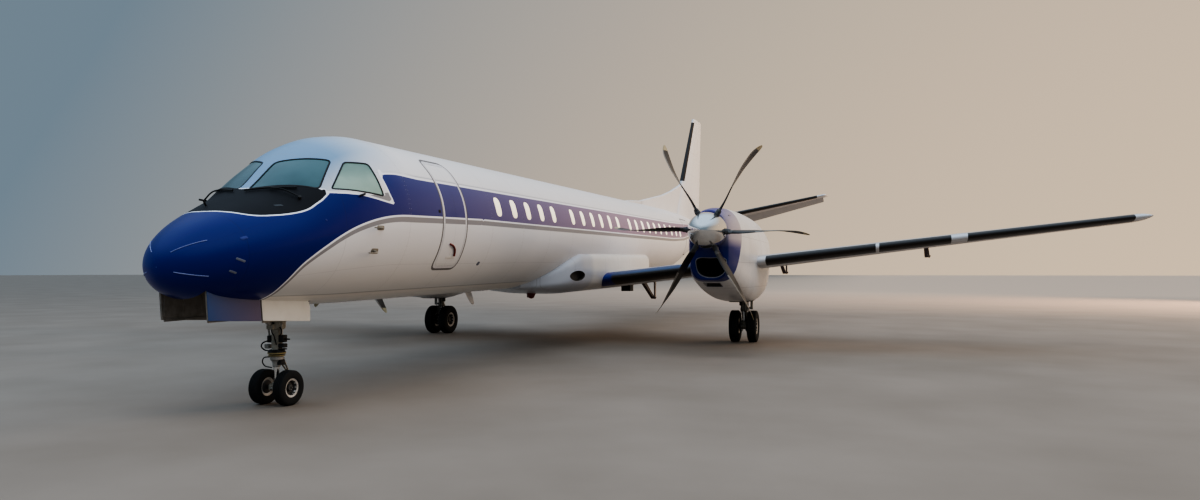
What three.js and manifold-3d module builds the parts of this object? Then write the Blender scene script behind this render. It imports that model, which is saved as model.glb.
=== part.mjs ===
// A fifty-seat twin turboprop airliner parked on its landing gear, as an assembly of separate pieces.
// Units are millimetres. The origin is on the ground under the middle of the airframe,
// +Z is up, the nose points along -Y and the port wing along +X.
import * as THREE from "three";
import { mergeVertices } from "three/addons/utils/BufferGeometryUtils.js";
import Module from "manifold-3d";

const wasm = await Module();
wasm.setup();

// Driving dimensions of the airframe.
// Stations run aft along the fuselage axis from the nose wheel axle, heights up from that axis.
const LENGTH = 27280;
const NOSE_TIP = -1800;
const TAIL_END = NOSE_TIP + LENGTH;
const FUSELAGE_RADIUS = 1155;
const AXIS_HEIGHT = 2374; // the axis over the ground at the nose wheel
const NOSE_DOWN = 0.01606; // the parked attitude, in radians
const ORIGIN_STATION = 11840; // the station that stands over the origin
const SEAM = 0.3; // between pieces that touch
const PANEL_SEAM = 3; // round a door or a pane
const SWING_GAP = 8; // round a piece that moves
const BELOW_ALL = -2000; // a height under every skin

const SPAN = 24760;
const WHEELBASE = 10970;
const TRACK = 8230;
const NACELLE_X = 4058; // the engines stand a little inboard of the main legs
const PROP_DIAMETER = 3810;
const PROP_STATION = 6860;
const PROP_HEIGHT = -35;
const BLADE_COUNT = 6;
const BLADE_PHASE = -3.5; // degrees round from straight outboard

const COLOURS = {
  white: ["#e9e7e4", 0.35, 0.0],
  blue: ["#16358f", 0.3, 0.0],
  grey: ["#b9bab8", 0.45, 0.1],
  boot: ["#16171a", 0.7, 0.0],
  glass: ["#5d7470", 0.1, 0.0],
  steel: ["#8f9296", 0.35, 0.8],
  polished: ["#c9cacc", 0.15, 1.0],
  gear: ["#9a9a96", 0.5, 0.3],
  rubber: ["#17171a", 0.85, 0.0],
};

// Solids from closed surfaces.

function solid(geometry) {
  const bare = new THREE.BufferGeometry();
  bare.setAttribute("position", geometry.getAttribute("position"));
  bare.setIndex(geometry.getIndex());
  const merged = mergeVertices(bare, 1e-3);
  return new wasm.Manifold(
    new wasm.Mesh({
      numProp: 3,
      vertProperties: new Float32Array(merged.attributes.position.array),
      triVerts: new Uint32Array(merged.index.array),
    }),
  );
}

function geometryOf(manifold) {
  const { vertProperties, triVerts } = manifold.getMesh();
  const geometry = new THREE.BufferGeometry();
  geometry.setAttribute("position", new THREE.BufferAttribute(vertProperties, 3));
  geometry.setIndex(new THREE.BufferAttribute(triVerts, 1));
  return geometry;
}

function join(...pieces) {
  return pieces.reduce((whole, piece) => whole.add(piece));
}

function cut(body, ...tools) {
  return tools.reduce((whole, tool) => whole.subtract(tool), body);
}

// A closed skin over rings of points, each ring a list of [x, y, z] and all of one length.
// The caps are cut into triangles as seen along the axis numbered `along`.
function loft(rings, along) {
  const size = rings[0].length;
  const position = rings.flat(2);
  const index = [];
  for (let r = 0; r + 1 < rings.length; r++) {
    for (let i = 0; i < size; i++) {
      const a = r * size + i;
      const b = r * size + ((i + 1) % size);
      index.push(a, b, b + size, a, b + size, a + size);
    }
  }
  const [u, v] = [0, 1, 2].filter((axis) => axis !== along);
  const faces = THREE.ShapeUtils.triangulateShape(
    rings[0].map((p) => new THREE.Vector2(p[u], p[v])),
    [],
  );
  const last = (rings.length - 1) * size;
  const turnsLeft = signedArea(rings[0], u, v) > 0;
  for (const [a, b, c] of faces) {
    const left = triangleArea(rings[0][a], rings[0][b], rings[0][c], u, v) > 0;
    const face = left === turnsLeft ? [a, b, c] : [a, c, b];
    index.push(face[0], face[2], face[1]);
    index.push(last + face[0], last + face[1], last + face[2]);
  }
  const geometry = new THREE.BufferGeometry();
  geometry.setAttribute("position", new THREE.Float32BufferAttribute(position, 3));
  geometry.setIndex(signedVolume(position, index) < 0 ? flipped(index) : index);
  return solid(geometry);
}

function triangleArea(a, b, c, u, v) {
  return (b[u] - a[u]) * (c[v] - a[v]) - (c[u] - a[u]) * (b[v] - a[v]);
}

function signedArea(ring, u, v) {
  return ring.reduce((sum, p, i) => {
    const q = ring[(i + 1) % ring.length];
    return sum + p[u] * q[v] - q[u] * p[v];
  }, 0);
}

function signedVolume(position, index) {
  const corner = (i) => new THREE.Vector3().fromArray(position, 3 * i);
  let sum = 0;
  for (let i = 0; i < index.length; i += 3) {
    sum += corner(index[i]).dot(corner(index[i + 1]).cross(corner(index[i + 2])));
  }
  return sum;
}

function flipped(index) {
  return index.map((value, i) => (i % 3 === 1 ? index[i + 1] : i % 3 === 2 ? index[i - 1] : value));
}

function box(low, high) {
  const size = high.map((value, i) => value - low[i]);
  const geometry = new THREE.BoxGeometry(...size);
  geometry.translate(...low.map((value, i) => value + size[i] / 2));
  return solid(geometry);
}

// A round bar between two points, with a flat side down when it lies level.
function bar(from, to, radius, sides = 12, endRadius = radius) {
  const start = new THREE.Vector3(...from);
  const way = new THREE.Vector3(...to).sub(start);
  const geometry = new THREE.CylinderGeometry(endRadius, radius, way.length(), sides);
  geometry.rotateY(Math.PI / sides);
  geometry.translate(0, way.length() / 2, 0);
  const turn = new THREE.Quaternion().setFromUnitVectors(
    new THREE.Vector3(0, 1, 0),
    way.clone().normalize(),
  );
  geometry.applyQuaternion(turn);
  geometry.translate(...from);
  return solid(geometry);
}

// A disc or ring turned about a line along X: columns are x along that line and radius.
function turnedAboutX(profile, centre, sides) {
  const points = profile.map(([x, radius]) => new THREE.Vector2(radius, x));
  const geometry = new THREE.LatheGeometry(points, sides);
  geometry.rotateY(Math.PI / sides);
  geometry.rotateZ(-Math.PI / 2);
  geometry.translate(...centre);
  return solid(orient(geometry));
}

function turnedAboutY(profile, centre, sides) {
  const points = profile.map(([y, radius]) => new THREE.Vector2(radius, y));
  const geometry = new THREE.LatheGeometry(points, sides);
  geometry.translate(...centre);
  return solid(orient(geometry));
}

// The same surface with its faces turned outwards.
function orient(geometry) {
  const index = Array.from(geometry.getIndex().array);
  const position = Array.from(geometry.getAttribute("position").array);
  if (signedVolume(position, index) < 0) geometry.setIndex(flipped(index));
  return geometry;
}

function mirrored(manifold) {
  return manifold.mirror([1, 0, 0]);
}

// Fuselage: each section has its half width, its top and bottom, and the height of its widest line.
const FUSELAGE_SECTIONS = [
  // station, half width, top, bottom, widest
  [NOSE_TIP, 40, -590, -680, -635],
  [-1770, 155, -495, -775, -635],
  [-1680, 325, -365, -885, -620],
  [-1500, 510, -195, -980, -580],
  [-1200, 705, -15, -1038, -500],
  [-900, 830, 128, -1065, -430],
  [-580, 920, 295, -1088, -345],
  [-150, 1010, 660, -1115, -230],
  [300, 1080, 950, -1140, -120],
  [700, 1125, 1090, -1150, -50],
  [1200, 1155, 1155, -1155, 0],
  [15500, 1155, 1155, -1155, 0],
  [17500, 1105, 1150, -1000, 60],
  [19500, 950, 1120, -640, 200],
  [21500, 690, 1050, -170, 420],
  [23500, 400, 950, 270, 610],
  [25000, 190, 860, 500, 680],
  [TAIL_END, 70, 800, 600, 700],
];
const RADOME_JOINT = -1150;
const CABIN_FRONT = 3300;
const CABIN_REAR = 15500;

// Linear between the rows of a table whose first column is the place.
function between(table, place) {
  const last = table.length - 1;
  let row = table.findIndex((entry) => entry[0] >= place);
  row = row < 1 ? (row === 0 ? 1 : last) : row;
  const [low, high] = [table[row - 1], table[row]];
  const share = (place - low[0]) / (high[0] - low[0]);
  return low.map((value, i) => value + share * (high[i] - value));
}

function fuselageRing(station, shrink, sides = 32) {
  const [, width, top, bottom, widest] = between(FUSELAGE_SECTIONS, station);
  const ring = [];
  for (let i = 0; i < sides; i++) {
    const angle = (2 * Math.PI * (i + 0.5)) / sides;
    const reach = Math.sin(angle) > 0 ? top - widest : widest - bottom;
    ring.push([
      Math.max(width - shrink, 5) * Math.cos(angle),
      station,
      widest + Math.max(reach - shrink, 5) * Math.sin(angle),
    ]);
  }
  return ring;
}

function fuselage(front, rear, shrink = 0) {
  const inside = FUSELAGE_SECTIONS.map((row) => row[0]).filter((s) => s > front && s < rear);
  return loft([front, ...inside, rear].map((s) => fuselageRing(s, shrink)), 1);
}

const SKIN = fuselage(NOSE_TIP, TAIL_END);
const RAISED = fuselage(NOSE_TIP, TAIL_END, -SEAM);

// A prism over an outline of points, pushed both ways along a direction.
function prism(outline, direction, outward, inward) {
  const way = new THREE.Vector3(...direction).normalize();
  const shifted = (distance) =>
    outline.map((p) => [
      p[0] + way.x * distance,
      p[1] + way.y * distance,
      p[2] + way.z * distance,
    ]);
  const rings = [shifted(-inward), shifted(outward)];
  const along = ["x", "y", "z"].reduce(
    (best, key, i) => (Math.abs(way[key]) > Math.abs(way.getComponent(best)) ? i : best),
    0,
  );
  return loft(rings, along);
}

function shrunkOutline(outline, amount) {
  const centre = outline.reduce(
    (sum, p) => sum.add(new THREE.Vector3(...p)),
    new THREE.Vector3(),
  );
  centre.divideScalar(outline.length);
  return outline.map((p) => {
    const arm = new THREE.Vector3(...p).sub(centre);
    arm.setLength(arm.length() - amount);
    return arm.add(centre).toArray();
  });
}

// A panel let into the skin: the piece itself and the pocket that it sits in.
function panel(outline, direction, depth) {
  const reach = 260;
  const core = fuselage(NOSE_TIP, TAIL_END, depth);
  const piece = prism(shrunkOutline(outline, PANEL_SEAM), direction, reach, reach);
  const pocket = prism(outline, direction, reach, reach);
  const floor = fuselage(NOSE_TIP, TAIL_END, depth + SEAM);
  return { piece: piece.intersect(SKIN).subtract(core), pocket: pocket.subtract(floor) };
}

// A rectangle with cut corners on one side of the cabin, given by stations and heights.
function sideOutline(side, front, rear, low, high, corner, x) {
  const points = [
    [front + corner, low],
    [rear - corner, low],
    [rear, low + corner],
    [rear, high - corner],
    [rear - corner, high],
    [front + corner, high],
    [front, high - corner],
    [front, low + corner],
  ];
  return points.map(([s, h]) => [side * x, s, h]);
}

const GLASS_DEPTH = 25;
const DOOR_DEPTH = 60;

// Cockpit panes, port side: corners in x, station and height, near the skin.
const WINDSHIELD_CORNERS = [
  [80, -625, 300],
  [82, -152, 664],
  [643, 221, 687],
  [798, -202, 279],
];
const WINDSHIELD_FACING = [0.35, -0.62, 0.7];
const SIDE_WINDOW_CORNERS = [
  [849, -83, 290],
  [722, 330, 684],
  [842, 690, 696],
  [1085, 715, 250],
];
const SIDE_WINDOW_FACING = [0.82, -0.3, 0.48];

function windowPair(corners, facing) {
  const port = panel(corners, facing, GLASS_DEPTH);
  return { port, starboard: { piece: mirrored(port.piece), pocket: mirrored(port.pocket) } };
}

const windshield = windowPair(WINDSHIELD_CORNERS, WINDSHIELD_FACING);
const sideWindow = windowPair(SIDE_WINDOW_CORNERS, SIDE_WINDOW_FACING);
const passengerDoor = panel(
  sideOutline(1, 2150, 2810, -700, 935, 110, 900),
  [1, 0, 0],
  DOOR_DEPTH,
);
const serviceDoor = panel(
  sideOutline(-1, 2180, 2790, -520, 760, 110, 900),
  [-1, 0, 0],
  DOOR_DEPTH,
);
const cargoDoor = panel(
  sideOutline(1, 18050, 19350, -430, 800, 110, 800),
  [1, 0, 0],
  DOOR_DEPTH,
);

// Nose gear bay: a well open at the belly, with its doors hanging from its two long edges.
const NOSE_BAY = { halfWidth: 338, front: -1480, rear: 195, roof: -560 };
const NOSE_DOOR = { thickness: 28, tuck: 50, split: -675, gap: 9 };
const NOSE_DOOR_FOOT = { front: -1220, rear: -1338, rake: 30, cornerBack: 55, cornerDown: 80 };

function noseBay() {
  const { halfWidth, front, rear, roof } = NOSE_BAY;
  return box([-halfWidth, front, BELOW_ALL], [halfWidth, rear, roof]);
}

// The height of the skin over one of the bay's long edges.
function bayEdge(station) {
  const [, width, , bottom, widest] = between(FUSELAGE_SECTIONS, station);
  return widest - (widest - bottom) * Math.sqrt(1 - (NOSE_BAY.halfWidth / width) ** 2);
}

// One side's two doors on their long hinge tube.
function noseDoors() {
  const { halfWidth, front, rear } = NOSE_BAY;
  const { thickness, tuck, split, gap } = NOSE_DOOR;
  const { rake, cornerBack, cornerDown } = NOSE_DOOR_FOOT;
  const outer = halfWidth - SEAM;
  const foot = (station) => {
    const share = (station - front) / (rear - front);
    return NOSE_DOOR_FOOT.front + share * (NOSE_DOOR_FOOT.rear - NOSE_DOOR_FOOT.front);
  };
  const top = (station) => bayEdge(station) + tuck;
  const plate = (corners) =>
    prism(corners.map(([s, h]) => [outer, s, h]), [1, 0, 0], 0, thickness);
  const forward = plate([
    [front + gap, top(front)],
    [split - gap, top(split)],
    [split - gap + rake, foot(split)],
    [front + gap + rake, foot(front)],
  ]);
  const aft = plate([
    [split + gap, top(split)],
    [rear - gap - cornerBack, top(rear)],
    [rear - gap, bayEdge(rear) - cornerDown],
    [rear - gap, foot(rear)],
    [split + gap + rake, foot(split)],
  ]);
  const inset = outer - thickness / 2;
  const hinge = bar(
    [inset, front + 3 * gap, bayEdge(front) + tuck / 2],
    [inset, rear - 9 * gap, bayEdge(rear) + tuck / 2],
    thickness / 2 - 1,
    8,
  );
  return join(forward, aft, hinge);
}

// Lifting surfaces lie along +X and are turned or mirrored to their place afterwards.
// The leading edge is a straight line from the root point; chords are linear in x.
const WING = {
  rootX: 1130,
  rootStation: 9245,
  rootHeight: -1020,
  sweep: 0.1,
  rise: 0.1136,
  innerX: 700,
  tipX: SPAN / 2,
  capLength: 360,
  chordAtRoot: 3027,
  chordAtTip: 1300,
  thickness: 0.118,
  camber: 0,
  incidence: 0.035,
};
const TAILPLANE = {
  rootX: 300,
  rootStation: 22450,
  rootHeight: 860,
  sweep: 0.283,
  rise: 0.21,
  innerX: 270,
  tipX: 5280,
  capLength: 120,
  chordAtRoot: 2500,
  chordAtTip: 1050,
  thickness: 0.11,
  camber: 0,
  incidence: 0,
};
const FIN = {
  rootX: 1000,
  rootStation: 20750,
  rootHeight: 0,
  sweep: 0.765,
  rise: 0,
  innerX: 500,
  tipX: 5220,
  capLength: 60,
  chordAtRoot: 4150,
  chordAtTip: 1550,
  thickness: 0.1,
  camber: 0,
  incidence: 0,
};
const SKIN_STEPS = 7;

function chordOf(plane, x) {
  const share = (x - plane.rootX) / (plane.tipX - plane.rootX);
  return plane.chordAtRoot + (plane.chordAtTip - plane.chordAtRoot) * share;
}

// A place from x and from shares of the chord aft and up.
function placeOn(plane, x, aft, up) {
  const out = x - plane.rootX;
  const chord = chordOf(plane, x);
  return [
    x,
    plane.rootStation + plane.sweep * out + aft * chord,
    plane.rootHeight + plane.rise * out + (up - plane.incidence * aft) * chord,
  ];
}

function middleLine(plane, aft) {
  return 4 * plane.camber * aft * (1 - aft);
}

// Half the thickness of the section at a share of the chord.
function halfThickness(plane, aft) {
  const curve =
    0.2969 * Math.sqrt(aft) - 0.126 * aft - 0.3516 * aft ** 2 + 0.2843 * aft ** 3 - 0.1015 * aft ** 4;
  return aft === 0 ? 0 : 5 * plane.thickness * curve + 0.0015;
}

// The upper side from back to front, then the lower side from front to back.
function sectionRing(plane, x, grow = 0, height = 1, frontShare = 0, rearShare = 1) {
  const shares = [];
  for (let i = 0; i < SKIN_STEPS; i++) {
    shares.push(1 - Math.cos((Math.PI * i) / (2 * SKIN_STEPS)));
  }
  shares.push(1);
  const skin = (share, side) => {
    const aft = frontShare + share * (rearShare - frontShare);
    const up = middleLine(plane, share) + side * halfThickness(plane, share);
    const point = placeOn(plane, x, aft, up * height);
    if (share === 0) return [point[0], point[1] - 2 * grow, point[2]];
    return [point[0], point[1] + (share === 1 ? grow : 0), point[2] + side * grow];
  };
  const upper = shares.map((share) => skin(share, 1)).reverse();
  const lower = shares.slice(1).map((share) => skin(share, -1));
  return [...upper, ...lower];
}

function liftingBody(plane, grow = 0) {
  const capStart = plane.tipX - plane.capLength;
  return loft(
    [
      sectionRing(plane, plane.innerX, grow),
      sectionRing(plane, capStart, grow),
      sectionRing(plane, plane.tipX - plane.capLength / 3, grow, 0.75, 0.05, 0.97),
      sectionRing(plane, plane.tipX, grow, 0.25, 0.2, 0.9),
    ],
    0,
  );
}

// Trailing surfaces hinge about a line at a share of the chord, and end square to that line
// unless they run out past the tip.
// Their root gap is wider where the hinge line leans over the root.
const AILERON = {
  inner: 8700, outer: 12000, hinge: 0.76, square: true, rootGap: SWING_GAP, pins: [1, 1],
};
const ELEVATOR = {
  inner: 470, outer: 5120, hinge: 0.64, square: true, rootGap: SWING_GAP, pins: [1, 1],
  droop: 27, // degrees below the tailplane, where it hangs when parked
};
const RUDDER = {
  inner: 1440, outer: 5220, hinge: 0.68, square: false, rootGap: 34, pins: [1, 0],
};
const FLAP_INBOARD = {
  inner: 1560, outer: 3260, hinge: 0.74, square: true, rootGap: SWING_GAP, pins: [0, 0],
  drop: 520, arms: [1690, 3120],
};
const FLAP_OUTBOARD = {
  inner: 4900, outer: 8580, hinge: 0.74, square: true, rootGap: SWING_GAP, pins: [0, 0],
  drop: 270, arms: [5020, 8190],
};
const FRONT_STEPS = 6; // round a surface's leading edge
const PIN_RADIUS = 14;
const PIN_REACH = 34;
const PIN_SIDES = 12;

// The radius of a bore whose flats clear a pin.
function boreFor(radius, sides) {
  return (radius + 0.35) / Math.cos(Math.PI / sides);
}

function hingePoint(plane, surface, x) {
  return placeOn(plane, x, surface.hinge, middleLine(plane, surface.hinge));
}

function hingeDirection(plane, surface) {
  const inner = new THREE.Vector3(...hingePoint(plane, surface, surface.inner));
  const outer = new THREE.Vector3(...hingePoint(plane, surface, surface.outer));
  return outer.sub(inner).normalize();
}

// Moves a ring in the plane of one x into the plane square to the hinge line.
function squared(ring, hinge, direction) {
  return ring.map(([x, y, z]) => {
    const off = direction.y * (y - hinge[1]) + direction.z * (z - hinge[2]);
    return [x - off / direction.x, y, z];
  });
}

function frontArc(hinge, radius, from, to) {
  const points = [];
  for (let i = 0; i <= FRONT_STEPS; i++) {
    const angle = from + ((to - from) * i) / FRONT_STEPS;
    points.push([
      hinge[0],
      hinge[1] + radius * Math.cos(angle),
      hinge[2] + radius * Math.sin(angle),
    ]);
  }
  return points;
}

// Turns a ring's trailing edge down about the hinge line.
function drooped(ring, hinge, degrees) {
  const angle = THREE.MathUtils.degToRad(degrees);
  const [c, s] = [Math.cos(angle), Math.sin(angle)];
  return ring.map(([x, y, z]) => {
    const [aft, up] = [y - hinge[1], z - hinge[2]];
    return [x, hinge[1] + aft * c + up * s, hinge[2] - aft * s + up * c];
  });
}

function surfaceRing(plane, surface, x) {
  const hinge = hingePoint(plane, surface, x);
  const radius = halfThickness(plane, surface.hinge) * chordOf(plane, x);
  const behind = [1, 0.66, 0.33].map((share) => surface.hinge + share * (1 - surface.hinge));
  const skin = (aft, side) =>
    placeOn(plane, x, aft, middleLine(plane, aft) + side * halfThickness(plane, aft));
  const ring = [
    ...behind.map((aft) => skin(aft, 1)),
    ...frontArc(hinge, radius * 0.99, Math.PI / 2, 1.5 * Math.PI),
    ...behind.reverse().map((aft) => skin(aft, -1)),
  ];
  return drooped(ring, hinge, surface.droop ?? 0);
}

function coveRing(plane, surface, x) {
  const hinge = hingePoint(plane, surface, x);
  const chord = chordOf(plane, x);
  const radius = halfThickness(plane, surface.hinge) * chord + SWING_GAP;
  const lean = 0.1;
  const arc = frontArc(hinge, radius, Math.PI / 2 + lean, 1.5 * Math.PI - lean);
  const reach = 0.2 * chord;
  return [
    [x, arc[0][1], hinge[2] + reach],
    ...arc,
    [x, arc[0][1], hinge[2] - reach],
    [x, hinge[1] + 0.5 * chord, hinge[2] - reach],
    [x, hinge[1] + 0.5 * chord, hinge[2] + reach],
  ];
}

// A trailing surface with its pins, and the room for it in the body that carries it.
function trailingSurface(plane, surface) {
  const direction = hingeDirection(plane, surface);
  const ringAt = (make, x) => {
    const ring = make(plane, surface, x);
    return surface.square ? squared(ring, hingePoint(plane, surface, x), direction) : ring;
  };
  const [inner, outer] = [surface.inner, surface.outer];
  const runsOut = surface.square ? 0 : 300;
  const endGap = surface.square ? SWING_GAP : 0;
  let piece = loft(
    [ringAt(surfaceRing, inner + surface.rootGap), ringAt(surfaceRing, outer - endGap)],
    0,
  );
  let room = loft([ringAt(coveRing, inner), ringAt(coveRing, outer + runsOut)], 0);
  [inner, outer].forEach((x, end) => {
    if (!surface.pins[end]) return;
    const way = direction.clone().multiplyScalar(end ? 1 : -1);
    const foot = new THREE.Vector3(...hingePoint(plane, surface, x));
    const start = foot.clone().addScaledVector(way, -2 * PIN_REACH);
    const tip = foot.clone().addScaledVector(way, PIN_REACH);
    const bottom = foot.clone().addScaledVector(way, PIN_REACH + SEAM);
    piece = piece.add(bar(start.toArray(), tip.toArray(), PIN_RADIUS, PIN_SIDES));
    const bore = boreFor(PIN_RADIUS, PIN_SIDES);
    room = room.add(bar(start.toArray(), bottom.toArray(), bore, PIN_SIDES));
  });
  return { piece, room };
}

// Flat pads that a jack or a towing arm meets.
const JACK_PAD = { half: 60, stand: 20, noseStation: 1000, wingX: 5300, wingAft: 0.42 };
const TOW_LUG = { half: 35, front: -100, low: 180, high: 250 };

function noseJackPad() {
  const { half, stand, noseStation } = JACK_PAD;
  const skin = -FUSELAGE_RADIUS;
  return box(
    [-half, noseStation - half, skin - stand],
    [half, noseStation + half, skin + 100],
  );
}

function wingJackPad() {
  const { half, stand, wingX, wingAft } = JACK_PAD;
  const up = middleLine(WING, wingAft) - halfThickness(WING, wingAft);
  const [x, station, height] = placeOn(WING, wingX, wingAft, up);
  return box(
    [x - half, station - half, height - stand],
    [x + half, station + half, height + stand],
  );
}

// Flaps swing about a line under their leading edge. Each hangs on thin arms, whose pins turn in
// the feet of slanting brackets under the wing, so arm, bracket and wing leave an open triangle.
const FLAP_PIN = 14;
const FLAP_BOSS = 36;
const FLAP_ARM = { width: 44, gap: 8, topFront: 0.055, topRear: 0.095, waist: 20 };
const FLAP_BRACKET = { front: 800, rear: 560, seat: 0.3 };

// A flat plate square to the hinge line, from its corners' stations and heights.
function plateOn(surface, x, corners, from, to) {
  const direction = hingeDirection(WING, surface);
  const ring = corners.map(([y, z]) => [x, y, z]);
  const slices = [from, to].map((out) =>
    squared(ring, hingePoint(WING, surface, x), direction).map((p) => [p[0] + out, p[1], p[2]]),
  );
  return loft(slices, 0);
}

function flapArm(surface, x) {
  const [, y, z] = hingePoint(WING, surface, x);
  const chord = chordOf(WING, x);
  const foot = z - surface.drop;
  const inFlap = z - 0.2 * halfThickness(WING, surface.hinge) * chord;
  const corners = [
    [y + FLAP_ARM.topFront * chord, inFlap],
    [y - FLAP_BOSS, foot + FLAP_ARM.waist],
    [y - FLAP_ARM.waist, foot - FLAP_BOSS],
    [y + FLAP_ARM.waist, foot - FLAP_BOSS],
    [y + FLAP_BOSS, foot],
    [y + FLAP_ARM.topRear * chord, inFlap],
  ];
  return plateOn(surface, x, corners, 0, FLAP_ARM.width);
}

function flapBracket(surface, x) {
  const [, y, z] = hingePoint(WING, surface, x);
  const chord = chordOf(WING, x);
  const foot = z - surface.drop;
  const share = surface.drop / FLAP_INBOARD.drop;
  const seatAt = (distance) => {
    const aft = surface.hinge - distance / chord;
    const up = middleLine(WING, aft) - (1 - FLAP_BRACKET.seat) * halfThickness(WING, aft);
    return placeOn(WING, x, aft, up).slice(1);
  };
  const corners = [
    seatAt(FLAP_BRACKET.rear * share),
    seatAt(FLAP_BRACKET.front * share),
    [y - FLAP_BOSS, foot - FLAP_ARM.waist],
    [y + FLAP_ARM.waist, foot - FLAP_BOSS],
    [y + FLAP_BOSS, foot + FLAP_ARM.waist],
  ];
  const { gap, width } = FLAP_ARM;
  return plateOn(surface, x, corners, -gap - width, -gap);
}

function flapPin(surface, x) {
  const direction = hingeDirection(WING, surface);
  const hinge = hingePoint(WING, surface, x);
  const [foot] = squared([[x, hinge[1], hinge[2] - surface.drop]], hinge, direction);
  const { gap, width } = FLAP_ARM;
  const at = (out) => foot.map((value, i) => value + out * direction.getComponent(i));
  return [at(-gap - width), at(width + gap)];
}

function flap(surface) {
  const { piece, room } = trailingSurface(WING, surface);
  const pins = surface.arms.map((x) => flapPin(surface, x));
  const bore = boreFor(FLAP_PIN, PIN_SIDES);
  const holes = pins.map(([from, to]) => bar(from, to, bore, PIN_SIDES));
  const rods = pins.map(([from, to]) => bar(from, to, FLAP_PIN, PIN_SIDES));
  return {
    piece: cut(join(piece, ...surface.arms.map((x) => flapArm(surface, x))), ...holes),
    room,
    brackets: join(...surface.arms.map((x) => flapBracket(surface, x)), ...rods),
  };
}

// Fairing between belly and wing, and the nacelles. Columns: station, half width, top, bottom, widest.
const FAIRING_SECTIONS = [
  [5900, 420, -1000, -1165, -1080],
  [6500, 880, -760, -1235, -980],
  [7200, 1120, -500, -1290, -820],
  [8000, 1160, -370, -1320, -720],
  [13000, 1160, -370, -1320, -720],
  [13600, 1000, -570, -1260, -880],
  [14200, 740, -850, -1200, -1020],
  [14700, 420, -1010, -1165, -1090],
];
const NACELLE_SECTIONS = [
  [7080, 375, 370, -985, -150],
  [7280, 440, 410, -1015, -200],
  [7750, 520, 455, -1130, -300],
  [8600, 585, 480, -1340, -400],
  [9600, 612, 475, -1500, -450],
  [10600, 615, 450, -1575, -480],
  [11500, 592, 400, -1510, -480],
  [12400, 520, 270, -1200, -420],
  [13200, 360, 40, -780, -340],
  [13800, 130, -190, -470, -330],
];
const NACELLE_FRONT = NACELLE_SECTIONS[0][0];
const BODY_SIDES = 20;
const UPPER_FULLNESS = 0.95; // 1 is an ellipse, less is nearer a box
const LOWER_FULLNESS = 0.55;
const FAIRING_FULLNESS = 0.45;

// A ring with fuller shoulders than an ellipse.
function fullRing(middle, [station, width, top, bottom, widest], grow, fullness) {
  const ring = [];
  for (let i = 0; i < BODY_SIDES; i++) {
    const angle = (2 * Math.PI * (i + 0.5)) / BODY_SIDES;
    const [c, s] = [Math.cos(angle), Math.sin(angle)];
    const power = s > 0 ? fullness : LOWER_FULLNESS;
    const reach = (s > 0 ? top - widest : widest - bottom) + grow;
    ring.push([
      middle + (width + grow) * Math.sign(c) * Math.abs(c) ** power,
      station,
      widest + reach * Math.sign(s) * Math.abs(s) ** power,
    ]);
  }
  return ring;
}

function fullLoft(table, middle, grow = 0, fullness = UPPER_FULLNESS) {
  return loft(table.map((row) => fullRing(middle, row, grow, fullness)), 1);
}

// Engine: a plain block with the propeller's shaft in front and the jet pipe behind.
const ENGINE = { front: 7450, rear: 9650, halfWidth: 330, low: -374, high: 286 };
const SHAFT_RADIUS = 80;
const SHAFT_ROOM = 20;
const SHAFT_END = PROP_STATION - 60;
const ROUND_SIDES = 16;
const JET_PIPE = {
  radius: 190, wall: 22, from: 9500, to: 12950, lowEnd: 40, highEnd: 130, mouthDepth: 700,
};
const INTAKE = { offset: 40, halfWidth: 270, low: -925, high: -560, corner: 150, depth: 1150 };
const COOLER = { offset: -20, halfWidth: 145, low: -1135, high: -1050, depth: 700 };
const GEAR_BAY = { halfWidth: 250, front: 10250, rear: 11300, roof: -1080 };

function pipeHeight(station) {
  const { from, to, lowEnd, highEnd } = JET_PIPE;
  return lowEnd + ((highEnd - lowEnd) * (station - from)) / (to - from);
}

function pipeBar(from, to, radius) {
  const at = (station) => [NACELLE_X, station, pipeHeight(station)];
  return bar(at(from), at(to), radius, ROUND_SIDES);
}

function engineBlock(grow) {
  const { front, rear, halfWidth, low, high } = ENGINE;
  return box(
    [NACELLE_X - halfWidth - grow, front - grow, low - grow],
    [NACELLE_X + halfWidth + grow, rear + grow, high + grow],
  );
}

function shaft(radius) {
  const from = [NACELLE_X, ENGINE.front + 50, PROP_HEIGHT];
  return bar(from, [NACELLE_X, SHAFT_END, PROP_HEIGHT], radius, ROUND_SIDES);
}

function engine() {
  const { radius, wall, from, to, mouthDepth } = JET_PIPE;
  const mouth = pipeBar(to - mouthDepth, to + 100, radius - wall);
  return cut(join(engineBlock(0), shaft(SHAFT_RADIUS), pipeBar(from, to, radius)), mouth);
}

// The room that the engine, its shaft and its exhaust take in the nacelle.
function engineRoom() {
  const { radius, from } = JET_PIPE;
  const last = NACELLE_SECTIONS[NACELLE_SECTIONS.length - 1][0];
  return join(
    engineBlock(SEAM),
    shaft(SHAFT_RADIUS + SHAFT_ROOM),
    pipeBar(from, last + 100, radius + SEAM),
  );
}

function intakeRoom() {
  const { offset, halfWidth, low, high, corner, depth } = INTAKE;
  const mouth = [
    [-halfWidth, high - corner * 0.6],
    [-halfWidth + corner * 0.5, high],
    [halfWidth - corner * 0.5, high],
    [halfWidth, high - corner * 0.6],
    [halfWidth - corner * 0.3, low + corner * 0.6],
    [halfWidth - corner * 1.3, low],
    [-halfWidth + corner * 1.3, low],
    [-halfWidth + corner * 0.3, low + corner * 0.6],
  ].map(([x, h]) => [NACELLE_X + offset + x, NACELLE_FRONT, h]);
  return prism(mouth, [0, 1, 0], depth, 100);
}

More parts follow.
